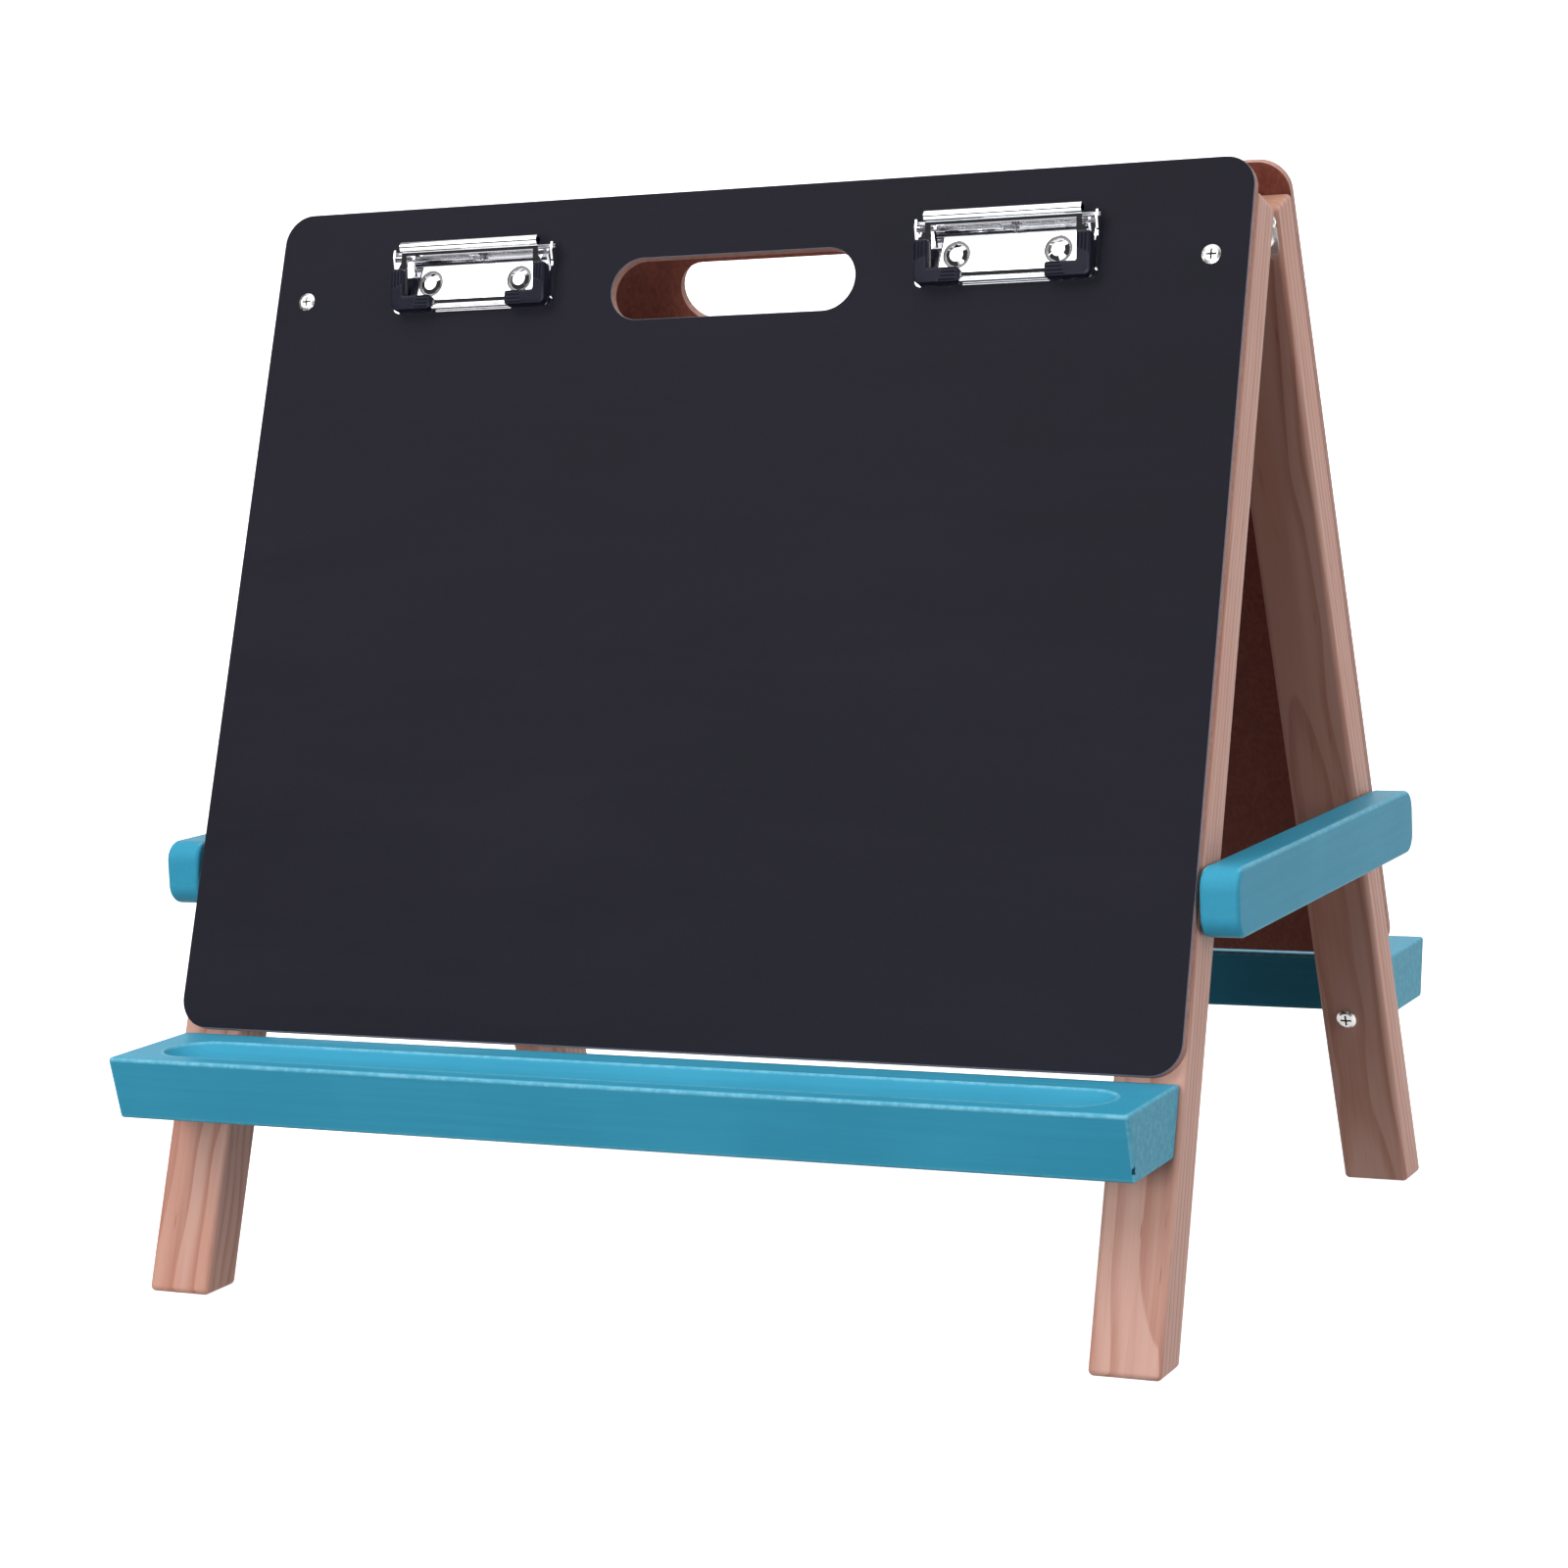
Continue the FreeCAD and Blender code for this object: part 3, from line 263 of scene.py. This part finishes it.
def paintedTimber(name, lengthways, wearAndHighlightMask, cut, knock=None):
    # the third argument gives 0 on the flats and 1 on the arrises, where wear and a painted highlight make the
    # paint paler; cut gives 1 where the router left its ripple;
    # knock is the place of a small dark chip, stretched upward
    finish = Finish(name, Specular_IOR_Level=0.05)
    x, y, z = finish.axes()
    if lengthways == "x":
        grainPlace = finish.vector(x * 9.0, y * 420.0, z * 420.0)
        endFace = finish.ease(finish.maths("ABSOLUTE", x), trayEnd - 0.0004, trayEnd - 0.0001)
    else:
        grainPlace = finish.vector(x * 420.0, y * 9.0, z * 420.0)
        endFace = 0.0
    grain = finish.noise(grainPlace, 1.0, 4.0, 0.6) * (1.0 - endFace) + endFace * 0.5
    stipple = finish.noise(finish.object(), 1100.0, 2.0, 0.5)
    cloud = finish.noise(finish.object(), 14.0, 3.0, 0.5)
    body = finish.blend(finish.ease(cloud * 0.6 + grain * 0.4, 0.35, 0.65), paint["deep"], paint["plain"])
    scuff = finish.ease(finish.noise(finish.object(), 300.0, 4.0, 0.7), 0.40, 0.62)
    # paler arrises: a painted highlight along the edges, with scuff noise standing for wear
    thin = wearAndHighlightMask(finish, x, y, z) * (0.35 + scuff * 0.45)
    colour = finish.blend(thin, body, paint["thin"])
    if knock:
        away = finish.vector(x - knock[0], y - knock[1], (z - knock[2]) * 0.35)
        reach = finish.node("ShaderNodeVectorMath", {"operation": "LENGTH"}, {0: away}, 1)
        chipped = finish.ease(reach + (scuff - 0.5) * 0.0008, 0.0010, 0.0006)
        colour = finish.blend(chipped, colour, paint["bare"])
    rough = finish.ease(stipple, 0.3, 0.7, paint["roughLow"], paint["roughHigh"])
    finish.connect(Base_Color=colour, Roughness=rough + thin * 0.12)
    ripple = finish.maths("SINE", x * 1900.0 + cloud * 3.0) if lengthways == "x" else grain
    finish.bump(stipple * 0.15 + grain * 0.4 + ripple * 0.9 * cut(finish, x, y, z), 0.000022, 0.8)
    return finish.material


def near(finish, value, target, reach):  # 1 at the target, falling to 0 a reach away
    return finish.ease(finish.maths("ABSOLUTE", value - target), reach, reach * 0.35)


def trayBox(side):  # its two corners and where its back edge is
    low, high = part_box("front_tray" if side < 0 else "rear_tray")
    return low, high, low[1] if side > 0 else high[1]


# the tray's arrises, trough rim and foot, made paler for wear and a painted highlight
def trayWearAndHighlight(side):
    low, high, backAt = trayBox(side)
    trough = backAt + side * tray["troughMiddle"]
    frontTop = backAt + side * tray["topDepth"]

    def wearAndHighlightMask(finish, x, y, z):
        onTop = finish.ease(z, high[2] - 0.0022, high[2] - 0.0010)
        frontArris = near(finish, y, frontTop - side * 0.0006, 0.0016) * onTop
        backArris = near(finish, y, backAt + side * 0.0006, 0.0016) * onTop
        endArris = near(finish, finish.maths("ABSOLUTE", x), high[0] - 0.0004, 0.0012)
        past = finish.maths("MAXIMUM", finish.maths("ABSOLUTE", x) - tray["troughRun"], 0.0)
        reach = finish.maths("SQRT", past * past + (y - trough) * (y - trough))
        rim = near(finish, reach, tray["troughHalf"], 0.0011) * finish.ease(z, high[2] - 0.0012,
                                                                            high[2] - 0.0004)
        foot = near(finish, z, low[2] + 0.0006, 0.0012)
        wearAndHighlightSum = frontArris + backArris + endArris * 0.7 + rim * 0.9 + foot * 0.4
        return finish.maths("MINIMUM", wearAndHighlightSum, 1.0)
    return wearAndHighlightMask


def inTrough(side):
    low, high, backAt = trayBox(side)

    def cut(finish, x, y, z):
        inside = near(finish, y, backAt + side * tray["troughMiddle"], 0.0165)
        return inside * finish.ease(z, high[2] - 0.0006, high[2] - 0.0020)
    return cut


def uncut(finish, x, y, z):
    return 0.0


# the side bar's long arrises, made paler for wear and a painted highlight
def barWearAndHighlight(hand):
    low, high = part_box("right_side_bar" if hand > 0 else "left_side_bar")
    middle = (low[2] + high[2]) / 2
    halfHeight = (high[2] - low[2]) / 2

    def wearAndHighlightMask(finish, x, y, z):
        rise = near(finish, finish.maths("ABSOLUTE", z - middle), halfHeight - 0.0004, 0.0014)
        faces = finish.maths("MAXIMUM", near(finish, x, low[0] + 0.0005, 0.0013),
                             near(finish, x, high[0] - 0.0005, 0.0013))
        return rise * faces
    return wearAndHighlightMask


# ---- metals and plastic

def metalFinish(name, low, high, roughLow, roughHigh, scratchScale, distance):
    finish = Finish(name, Metallic=1.0)
    x, y, z = finish.axes()
    rub = finish.noise(finish.vector(x * scratchScale * 0.05, y * scratchScale, z * scratchScale),
                       1.0, 4.0, 0.7)
    bloom = finish.noise(finish.object(), 160.0, 4.0, 0.6)
    tone = finish.ease(rub * 0.5 + bloom * 0.5, 0.3, 0.7)
    finish.connect(Base_Color=finish.blend(tone, low, high),
                   Roughness=finish.ease(tone, 0.0, 1.0, roughHigh, roughLow))
    finish.bump(rub, distance, 0.6)
    return finish.material


# each kind of screw: its middles across and along the frame, the level of its head's top, which way the head
# points (1 out of the frame, -1 into it), and how deep and wide the driver's cross is
screws = {
    "board_screws": {"across": (0.2095,), "along": -0.0225, "top": 0.0285, "points": 1,
                     "dip": 0.00042, "reach": 0.0024},
    "tray_screws": {"across": (0.2080,), "along": -0.3673, "top": 0.0003, "points": -1,
                    "dip": 0.0005, "reach": 0.0026},
    "hinge_screws": {"across": (0.2202, 0.2066), "along": -0.0080, "top": 0.0001, "points": -1,
                     "dip": 0.0003, "reach": 0.0016},
}


def screwFinish(name, side, screw):
    # plated steel, with painted shade on the walls inside the cross
    finish = Finish(name, Metallic=1.0)
    x, out, along = finish.leaning(side)
    fromMiddle = None
    for across in screw["across"]:
        over = finish.maths("ABSOLUTE", x) - across
        reach = finish.maths("SQRT", over * over + (along - screw["along"]) ** 2.0)
        fromMiddle = reach if fromMiddle is None else finish.maths("MINIMUM", fromMiddle, reach)
    below = (screw["top"] - out) * screw["points"]
    # painted shade: near black inside the driver's cross, below the head's top
    sunk = finish.ease(below, screw["dip"] * 0.6, screw["dip"])
    dark = sunk * finish.ease(fromMiddle, screw["reach"], screw["reach"] * 0.96)
    spun = finish.noise(finish.vector(fromMiddle * 9000.0, out * 900.0, 0.0), 1.0, 2.0, 0.6)
    grime = finish.noise(finish.object(), 900.0, 3.0, 0.6)
    plated = finish.blend(finish.ease(spun * 0.6 + grime * 0.4, 0.3, 0.7),
                          rgb(0.46, 0.45, 0.45), rgb(0.78, 0.77, 0.76))
    finish.connect(Base_Color=finish.blend(dark, plated, rgb(0.02, 0.02, 0.022)), Metallic=1 - dark * 0.8,
                   Roughness=finish.ease(grime, 0.3, 0.7, 0.20, 0.34) + dark * 0.3)
    finish.bump(spun, 0.00001, 0.6)
    return finish.material


def plasticFinish(name):
    finish = Finish(name, Specular_IOR_Level=0.16)
    pebble = finish.cells(finish.object(), 2600.0)
    haze = finish.noise(finish.object(), 120.0, 3.0, 0.5)
    finish.connect(Base_Color=finish.blend(haze, rgb(0.0045, 0.0045, 0.0120), rgb(0.0110, 0.0105, 0.0260)),
                   Roughness=finish.ease(haze, 0.3, 0.7, 0.30, 0.40))
    finish.bump(pebble, 0.00002, 0.5)
    return finish.material


finishes = {
    "front_board": boardFinish("chalkboard", -1, chalkCoat),
    "rear_board": boardFinish("whiteboard", 1, wipeCoat),
    "front_tray": paintedTimber("frontTrayPaint", "x", trayWearAndHighlight(-1), inTrough(-1),
                                (trayEnd - 0.0006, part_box("front_tray")[0][1] + tray["knockDeep"],
                                 tray["knockHeight"])),
    "rear_tray": paintedTimber("rearTrayPaint", "x", trayWearAndHighlight(1), inTrough(1)),
    "left_side_bar": paintedTimber("leftBarPaint", "y", barWearAndHighlight(-1), uncut),
    "right_side_bar": paintedTimber("rightBarPaint", "y", barWearAndHighlight(1), uncut),
}
legs = [(sideWord, handWord) for sideWord in ("front", "rear") for handWord in ("left", "right")]
for number, (sideWord, handWord) in enumerate(legs):
    legName = "%s_%s_leg" % (sideWord, handWord)
    finishes[legName] = pineFinish(legName + "Pine", -1 if sideWord == "front" else 1,
                                   -1 if handWord == "left" else 1, number * 1.7)

# the grime colour here is painted shade, for the sunk ring round each rivet and where the plate meets the board
rivetSeat = {"out": 0.022, "down": 0.010, "ringLow": 0.0046, "ringHigh": 0.0060, "low": rgb(0.74, 0.74, 0.76),
             "high": rgb(0.90, 0.90, 0.92), "grime": rgb(0.05, 0.045, 0.045)}


def clipPlateFinish(name, side, centre):
    # bright plate, with painted shade in the sunk ring round each rivet and where the plate lies on the board
    finish = Finish(name, Metallic=1.0)
    x, out, along = finish.leaning(side)
    over = finish.maths("ABSOLUTE", x - centre) - rivetSeat["out"]
    rise = along - (easel["clipLine"] - rivetSeat["down"])
    reach = finish.maths("SQRT", over * over + rise * rise)
    ring = finish.ease(reach, rivetSeat["ringLow"], rivetSeat["ringLow"] + 0.0003) * finish.ease(
        reach, rivetSeat["ringHigh"] + 0.0001, rivetSeat["ringHigh"] - 0.0002)
    low = finish.ease(out, easel["boardFace"] + 0.0004, easel["boardFace"] + 0.0001)
    bloom = finish.noise(finish.object(), 160.0, 4.0, 0.6)
    # painted shade in the rivet rings and where the plate meets the board
    paintedShade = finish.maths("MINIMUM", ring * 0.92 + low * 0.6, 1.0)
    finish.connect(Base_Color=finish.blend(paintedShade, finish.blend(bloom, rivetSeat["low"], rivetSeat["high"]),
                                           rivetSeat["grime"]),
                   Roughness=finish.ease(bloom, 0.3, 0.7, 0.03, 0.07) + paintedShade * 0.35)
    finish.bump(bloom, 0.000002, 0.4)
    return finish.material


for sideWord, side in (("front", -1), ("rear", 1)):
    for handWord, hand in (("left", -1), ("right", 1)):
        baseName = "%s_%s_clip_base" % (sideWord, handWord)
        finishes[baseName] = clipPlateFinish(baseName + "Chrome", side, hand * easel["clipOut"])
    for kind, screw in screws.items():
        screwName = "%s_%s" % (sideWord, kind)
        finishes[screwName] = screwFinish(screwName + "Steel", side, screw)
chrome = metalFinish("chromePlate", rgb(0.74, 0.74, 0.76), rgb(0.90, 0.90, 0.92),
                     0.025, 0.06, 900.0, 0.0000015)
zinc = metalFinish("zincSteel", rgb(0.50, 0.50, 0.51), rgb(0.78, 0.78, 0.77), 0.20, 0.36, 2400.0, 0.00002)
wire = metalFinish("springWire", rgb(0.30, 0.30, 0.32), rgb(0.55, 0.55, 0.57), 0.22, 0.34, 3000.0, 0.00001)
brass = metalFinish("turnedBrass", rgb(0.58, 0.40, 0.15), rgb(0.80, 0.62, 0.30), 0.18, 0.32, 2400.0, 0.00001)
plastic = plasticFinish("guardPlastic")
bySlot = {"zinc_steel": zinc, "chrome_plate": chrome, "spring_steel": wire, "brass": brass,
          "black_plastic": plastic}
slotOf = {entry["node"]: entry["material_slot"] for entry in frame["record"]["subparts"]}
for nodeName, nodeObject in frame["nodes"].items():
    material = finishes.get(nodeName) or bySlot[slotOf[nodeName]]
    nodeObject.data.materials.clear()
    nodeObject.data.materials.append(material)
print("finishes laid on", len(frame["nodes"]), "nodes")


# ---- surfaces

def onFrame(side, x, out, along):
    # a point of a leaning frame: out and along are turned by the lean about the hinge line
    y = side * (cosLean * out - sinLean * along)
    z = easel["hingeHeight"] + sinLean * out + cosLean * along
    return np.stack(np.broadcast_arrays(x, y, z), axis=-1)


def gridMesh(name, points, material, capped):
    # points[u, v] joined into quads, v running round; each end of u is closed with one face when capped
    rows, columns = points.shape[:2]
    index = np.arange(rows * columns).reshape(rows, columns)
    after = np.roll(index, -1, axis=1)
    quads = np.stack([index[:-1], after[:-1], after[1:], index[1:]], axis=-1).reshape(-1, 4)
    flat = points.reshape(-1, 3)
    one, two, three, four = (flat[quads[:, k]] for k in range(4))
    volume = np.einsum("ij,ij->", one, np.cross(two, three) + np.cross(three, four))
    faces = quads.tolist()
    if capped:
        faces += [index[0][::-1].tolist(), index[-1].tolist()]
    if volume < 0:
        faces = [face[::-1] for face in faces]
    mesh = bpy.data.meshes.new(name)
    mesh.from_pydata(flat.tolist(), [], faces)
    mesh.polygons.foreach_set("use_smooth", np.ones(len(faces), bool))
    mesh.materials.append(material)
    mesh.update()
    made = bpy.data.objects.new(name, mesh)
    bpy.context.collection.objects.link(made)
    return made


# ---- clip guards: an L of moulded plastic over the corner of a clip's jaw, with finger ribs on each arm

guard = {"inside": 0.0187, "outside": 0.0382, "arm": 0.0060, "top": -0.0055, "foot": -0.0228,
         "innerRound": 0.0010, "outerRound": 0.0024, "ribs": 4.0, "ribHeight": 0.00075, "ribRun": 0.0078,
         "pathSteps": 120, "ringSteps": 112, "endRound": 0.0008, "squareness": 7.0}


def roundedCorner(straightDown, straightIn, radius, steps):
    # a path straight down, round a quarter circle, then straight inward; the straights take a third of the
    # steps each and the turn a quarter
    turn = np.linspace(0.0, math.pi / 2, steps // 4)
    run = steps // 3
    down = np.stack([np.zeros(run), np.linspace(straightDown, radius, run, endpoint=False)], axis=-1)
    bend = np.stack([-radius * (1 - np.cos(turn)), radius * (1 - np.sin(turn))], axis=-1)
    inward = np.stack([-np.linspace(radius, straightIn, run + 1)[1:], np.zeros(run)], axis=-1)
    return np.concatenate([down, bend, inward])


def guardSurface(side, centre, hand):
    # two corner paths, inner and outer, ruled across; the section round each ruling is a square walked
    # evenly and rounded by dividing by its own power-mean radius; its outer side has grooves of a cubed cosine
    # that start towards the end of each arm
    size = guard
    tall = size["top"] - size["foot"]
    wide = size["outside"] - size["inside"]
    outer = roundedCorner(tall, wide, size["outerRound"], size["pathSteps"])
    inner = roundedCorner(tall - size["arm"], wide - size["arm"], size["innerRound"], size["pathSteps"])
    outer = outer + [size["outside"], size["foot"]]
    inner = inner + [size["outside"] - size["arm"], size["foot"] + size["arm"]]
    middle = (outer + inner) / 2
    step = np.linalg.norm(np.diff(middle, axis=0), axis=1)
    travelled = np.concatenate([[0.0], np.cumsum(step)])
    toEnd = np.minimum(travelled, travelled[-1] - travelled)
    shrink = np.sqrt(np.clip(1 - (1 - np.clip(toEnd / size["endRound"], 0, 1)) ** 2, 0.12, 1))
    turn = np.linspace(0, 4, size["ringSteps"], endpoint=False)
    acrossSide = np.clip(2 - 2 * np.abs((turn + 1) % 4 - 2), -1, 1)
    depthSide = np.clip(2 - 2 * np.abs(turn % 4 - 2), -1, 1)
    power = size["squareness"]
    rounding = (np.abs(acrossSide) ** power + np.abs(depthSide) ** power) ** (1 / power)
    acrossShare = acrossSide / rounding
    depthShare = depthSide / rounding
    shrinkWide = 1 - (1 - shrink) * 0.25
    across = 0.5 + 0.5 * acrossShare[None, :] * shrinkWide[:, None]
    plane = inner[:, None, :] * (1 - across[..., None]) + outer[:, None, :] * across[..., None]
    along = plane[..., 1]
    rise = (along - size["foot"]) / tall
    face = 0.0060 + 0.0034 * rise
    rear = np.maximum(0.0015, 0.0015 + 0.0027 * (rise - 0.376) / 0.624)
    depth = (face + rear) / 2 + (face - rear) / 2 * depthShare[None, :] * shrinkWide[:, None]
    fade = np.clip((size["ribRun"] - toEnd) / 0.0008, 0, 1) * np.clip((toEnd - 0.0006) / 0.0006, 0, 1)
    groove = (0.5 - 0.5 * np.cos(2 * math.pi * (size["ribs"] * (across - 0.5)))) ** 3
    outerSide = np.clip(depthShare[None, :] * 4 - 2.6, 0, 1)
    depth = depth - size["ribHeight"] * groove * fade[:, None] * outerSide
    return onFrame(side, centre + hand * plane[..., 0], easel["boardFace"] + depth,
                   easel["clipLine"] + along)


# ---- clip springs: a close coil round the pivot pin, one short leg down and one leg off along the wire

spring = {"coilRadius": 0.00175, "wireRadius": 0.00036, "turns": 6.0, "pitch": 0.00082, "legLow": 0.0030,
          "legHigh": 0.0042, "pathSteps": 320, "ringSteps": 14}


def springPath():
    # a helix about X; its first end runs straight down and its last end straight along its own tangent
    size = spring
    t = np.linspace(0, 1, size["pathSteps"])
    angle = math.pi + 2 * math.pi * size["turns"] * t
    half = size["pitch"] * size["turns"] / 2
    radius = size["coilRadius"]
    coil = np.stack([-half + 2 * half * t, radius * np.cos(angle), radius * np.sin(angle)], axis=-1)
    drop = np.array([-0.0006, 0.0003, -size["legLow"]])
    low = coil[0] + np.linspace(1, 0, 24, endpoint=False)[:, None] * drop
    endAngle = angle[-1]
    leave = np.array([0.0004, -math.sin(endAngle), math.cos(endAngle)])
    high = coil[-1] + np.linspace(0, 1, 25)[1:, None] * leave * size["legHigh"] * [0.1, 1, 1]
    return np.concatenate([low, coil, high])


def tubeAlong(path, radius, ringSteps):
    # rings of the wire's radius, square to the path; a ring's first direction is X made square to the path
    tangent = np.gradient(path, axis=0)
    tangent /= np.linalg.norm(tangent, axis=1, keepdims=True)
    first = np.array([1.0, 0.0, 0.0]) - tangent * tangent[:, :1]
    first /= np.linalg.norm(first, axis=1, keepdims=True)
    second = np.cross(tangent, first)
    angle = np.linspace(0, 2 * math.pi, ringSteps, endpoint=False)
    return path[:, None, :] + radius * (np.cos(angle)[None, :, None] * first[:, None, :]
                                        + np.sin(angle)[None, :, None] * second[:, None, :])


for sideWord, side in (("front", -1), ("rear", 1)):
    for handWord, hand in (("left", -1), ("right", 1)):
        clipName = "%s_%s_clip" % (sideWord, handWord)
        centre = hand * easel["clipOut"]
        for armWord, arm in (("left", -1), ("right", 1)):
            points = guardSurface(side, centre, arm)
            made = gridMesh("%s_%s_ribbed_guard" % (clipName, armWord), points, plastic, True)
            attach(made, clipName + "_grip")
            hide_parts("%s_%s_guard" % (clipName, armWord))
        local = tubeAlong(springPath(), spring["wireRadius"], spring["ringSteps"])
        points = onFrame(side, centre + local[..., 0], easel["boardFace"] + easel["pivotOut"] + local[..., 1],
                         easel["clipLine"] + easel["pivotAbove"] + local[..., 2])
        made = gridMesh(clipName + "_coil", points, wire, True)
        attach(made, sideWord + "_frame")
        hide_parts(clipName + "_spring")
print("clips dressed")


# ---- studio: a glowing white floor that sweeps up behind, soft lights, the camera

studio = {"glow": 0.92, "halfWidth": 30.0, "front": -30.0, "bendAt": 3.0, "bendRadius": 1.5, "wallTop": 5.0,
          "skyFront": rgb(0.10, 0.10, 0.11), "skyBack": rgb(1.0, 1.0, 1.0), "skyStrength": 0.40}


def sweepSurface():
    # a level run, a quarter circle and an upright run, carried straight across
    size = studio
    turn = np.linspace(0, math.pi / 2, 24)
    level = np.stack([np.linspace(size["front"], size["bendAt"], 12, endpoint=False), np.zeros(12)], axis=-1)
    radius = size["bendRadius"]
    bend = np.stack([size["bendAt"] + radius * np.sin(turn), radius * (1 - np.cos(turn))], axis=-1)
    wall = np.stack([np.full(8, size["bendAt"] + radius), np.linspace(radius, size["wallTop"], 9)[1:]], axis=-1)
    profile = np.concatenate([level, bend, wall])
    across = np.linspace(-size["halfWidth"], size["halfWidth"], 9)
    grid = np.empty((len(across), len(profile), 3))
    grid[..., 0] = across[:, None]
    grid[..., 1:] = profile[None, :, :]
    return grid


grid = sweepSurface()
rows, columns = grid.shape[:2]
index = np.arange(rows * columns).reshape(rows, columns)
faces = np.stack([index[:-1, :-1], index[1:, :-1], index[1:, 1:], index[:-1, 1:]], axis=-1).reshape(-1, 4)
floorMesh = bpy.data.meshes.new("studio_floor")
floorMesh.from_pydata(grid.reshape(-1, 3).tolist(), [], faces.tolist())
floorMesh.polygons.foreach_set("use_smooth", np.ones(len(faces), bool))
floorFinish = Finish("studioPaper", Roughness=0.9, Specular_IOR_Level=0.1,
                     Emission_Strength=studio["glow"])
paperNoise = floorFinish.noise(floorFinish.object(), 3.0, 2.0, 0.5)
floorFinish.connect(Base_Color=floorFinish.blend(paperNoise, rgb(0.50, 0.50, 0.50), rgb(0.52, 0.52, 0.52)),
                    Emission_Color=floorFinish.blend(paperNoise, rgb(0.98, 0.98, 0.98), rgb(1.0, 1.0, 1.0)))
floorMesh.materials.append(floorFinish.material)
floorObject = bpy.data.objects.new("studio_floor", floorMesh)
bpy.context.collection.objects.link(floorObject)
# the floor glows white but is hidden from diffuse rays, so it sends no light back up at the easel
floorObject.visible_diffuse = False

world = bpy.data.worlds.new("studioSky")
world.use_nodes = True
sky = world.node_tree.nodes
ramp = sky.new("ShaderNodeValToRGB")
direction = sky.new("ShaderNodeSeparateXYZ")
world.node_tree.links.new(sky.new("ShaderNodeTexCoord").outputs["Generated"], direction.inputs[0])
leanSky = sky.new("ShaderNodeMath")
leanSky.operation = "MULTIPLY_ADD"
leanSky.inputs[1].default_value = 0.5
leanSky.inputs[2].default_value = 0.5
world.node_tree.links.new(direction.outputs[1], leanSky.inputs[0])
world.node_tree.links.new(leanSky.outputs[0], ramp.inputs[0])
ramp.color_ramp.elements[0].position = 0.18
ramp.color_ramp.elements[0].color = studio["skyFront"]
ramp.color_ramp.elements[1].position = 0.62
ramp.color_ramp.elements[1].color = studio["skyBack"]
world.node_tree.links.new(ramp.outputs[0], sky["Background"].inputs["Color"])
sky["Background"].inputs["Strength"].default_value = studio["skyStrength"]
bpy.context.scene.world = world

lamps = {
    "keyLight": {"place": (-1.25, -1.85, 2.05), "target": (0, 0, 0.25), "size": 1.7, "power": 38.0},
    "frontLight": {"place": (0.2, -3.0, 0.9), "target": (0, 0, 0.15), "size": 1.0, "power": 20.0},
    "lowLight": {"place": (-0.1, -2.7, 0.42), "target": (0, 0, 0.06), "size": 0.8, "power": 24.0},
    "sideLight": {"place": (2.3, -0.6, 0.75), "target": (0, 0, 0.15), "size": 1.0, "power": 15.0},
    "topLight": {"place": (0.0, -0.1, 2.8), "target": (0, 0, 0.0), "size": 3.2, "power": 52.0},
    "wallLeftLight": {"place": (-2.2, 2.3, 2.8), "target": (-2.4, 4.4, 0.6), "size": 2.6, "power": 130.0},
    "wallRightLight": {"place": (1.6, 2.5, 2.8), "target": (1.6, 4.4, 0.4), "size": 2.6, "power": 110.0},
}
for lampName, lamp in lamps.items():
    data = bpy.data.lights.new(lampName, "AREA")
    data.shape = "SQUARE"
    data.size = lamp["size"]
    data.energy = lamp["power"]
    lampObject = bpy.data.objects.new(lampName, data)
    lampObject.location = lamp["place"]
    aim = Vector(lamp["target"]) - Vector(lamp["place"])
    lampObject.rotation_euler = aim.to_track_quat("-Z", "Y").to_euler()
    bpy.context.collection.objects.link(lampObject)

lens = {"place": (0.66909, -1.38134, 0.38331), "yaw": 0.45247, "pitch": -0.12101, "roll": -0.04354,
        "focal": 82.238}
forward = Vector((-math.sin(lens["yaw"]) * math.cos(lens["pitch"]),
                  math.cos(lens["yaw"]) * math.cos(lens["pitch"]), math.sin(lens["pitch"])))
level = Vector((math.cos(lens["yaw"]), math.sin(lens["yaw"]), 0))
upright = level.cross(forward)
right = level * math.cos(lens["roll"]) + upright * math.sin(lens["roll"])
up = upright * math.cos(lens["roll"]) - level * math.sin(lens["roll"])
cameraData = bpy.data.cameras.new("camera")
cameraData.lens = lens["focal"]
cameraData.sensor_width = 36.0
cameraData.clip_end = 50.0
camera = bpy.data.objects.new("camera", cameraData)
camera.matrix_world = Matrix.Translation(lens["place"]) @ Matrix((right, up, -forward)).transposed().to_4x4()
bpy.context.collection.objects.link(camera)
bpy.context.scene.camera = camera
bpy.context.scene.view_settings.view_transform = "Standard"
print("studio set")
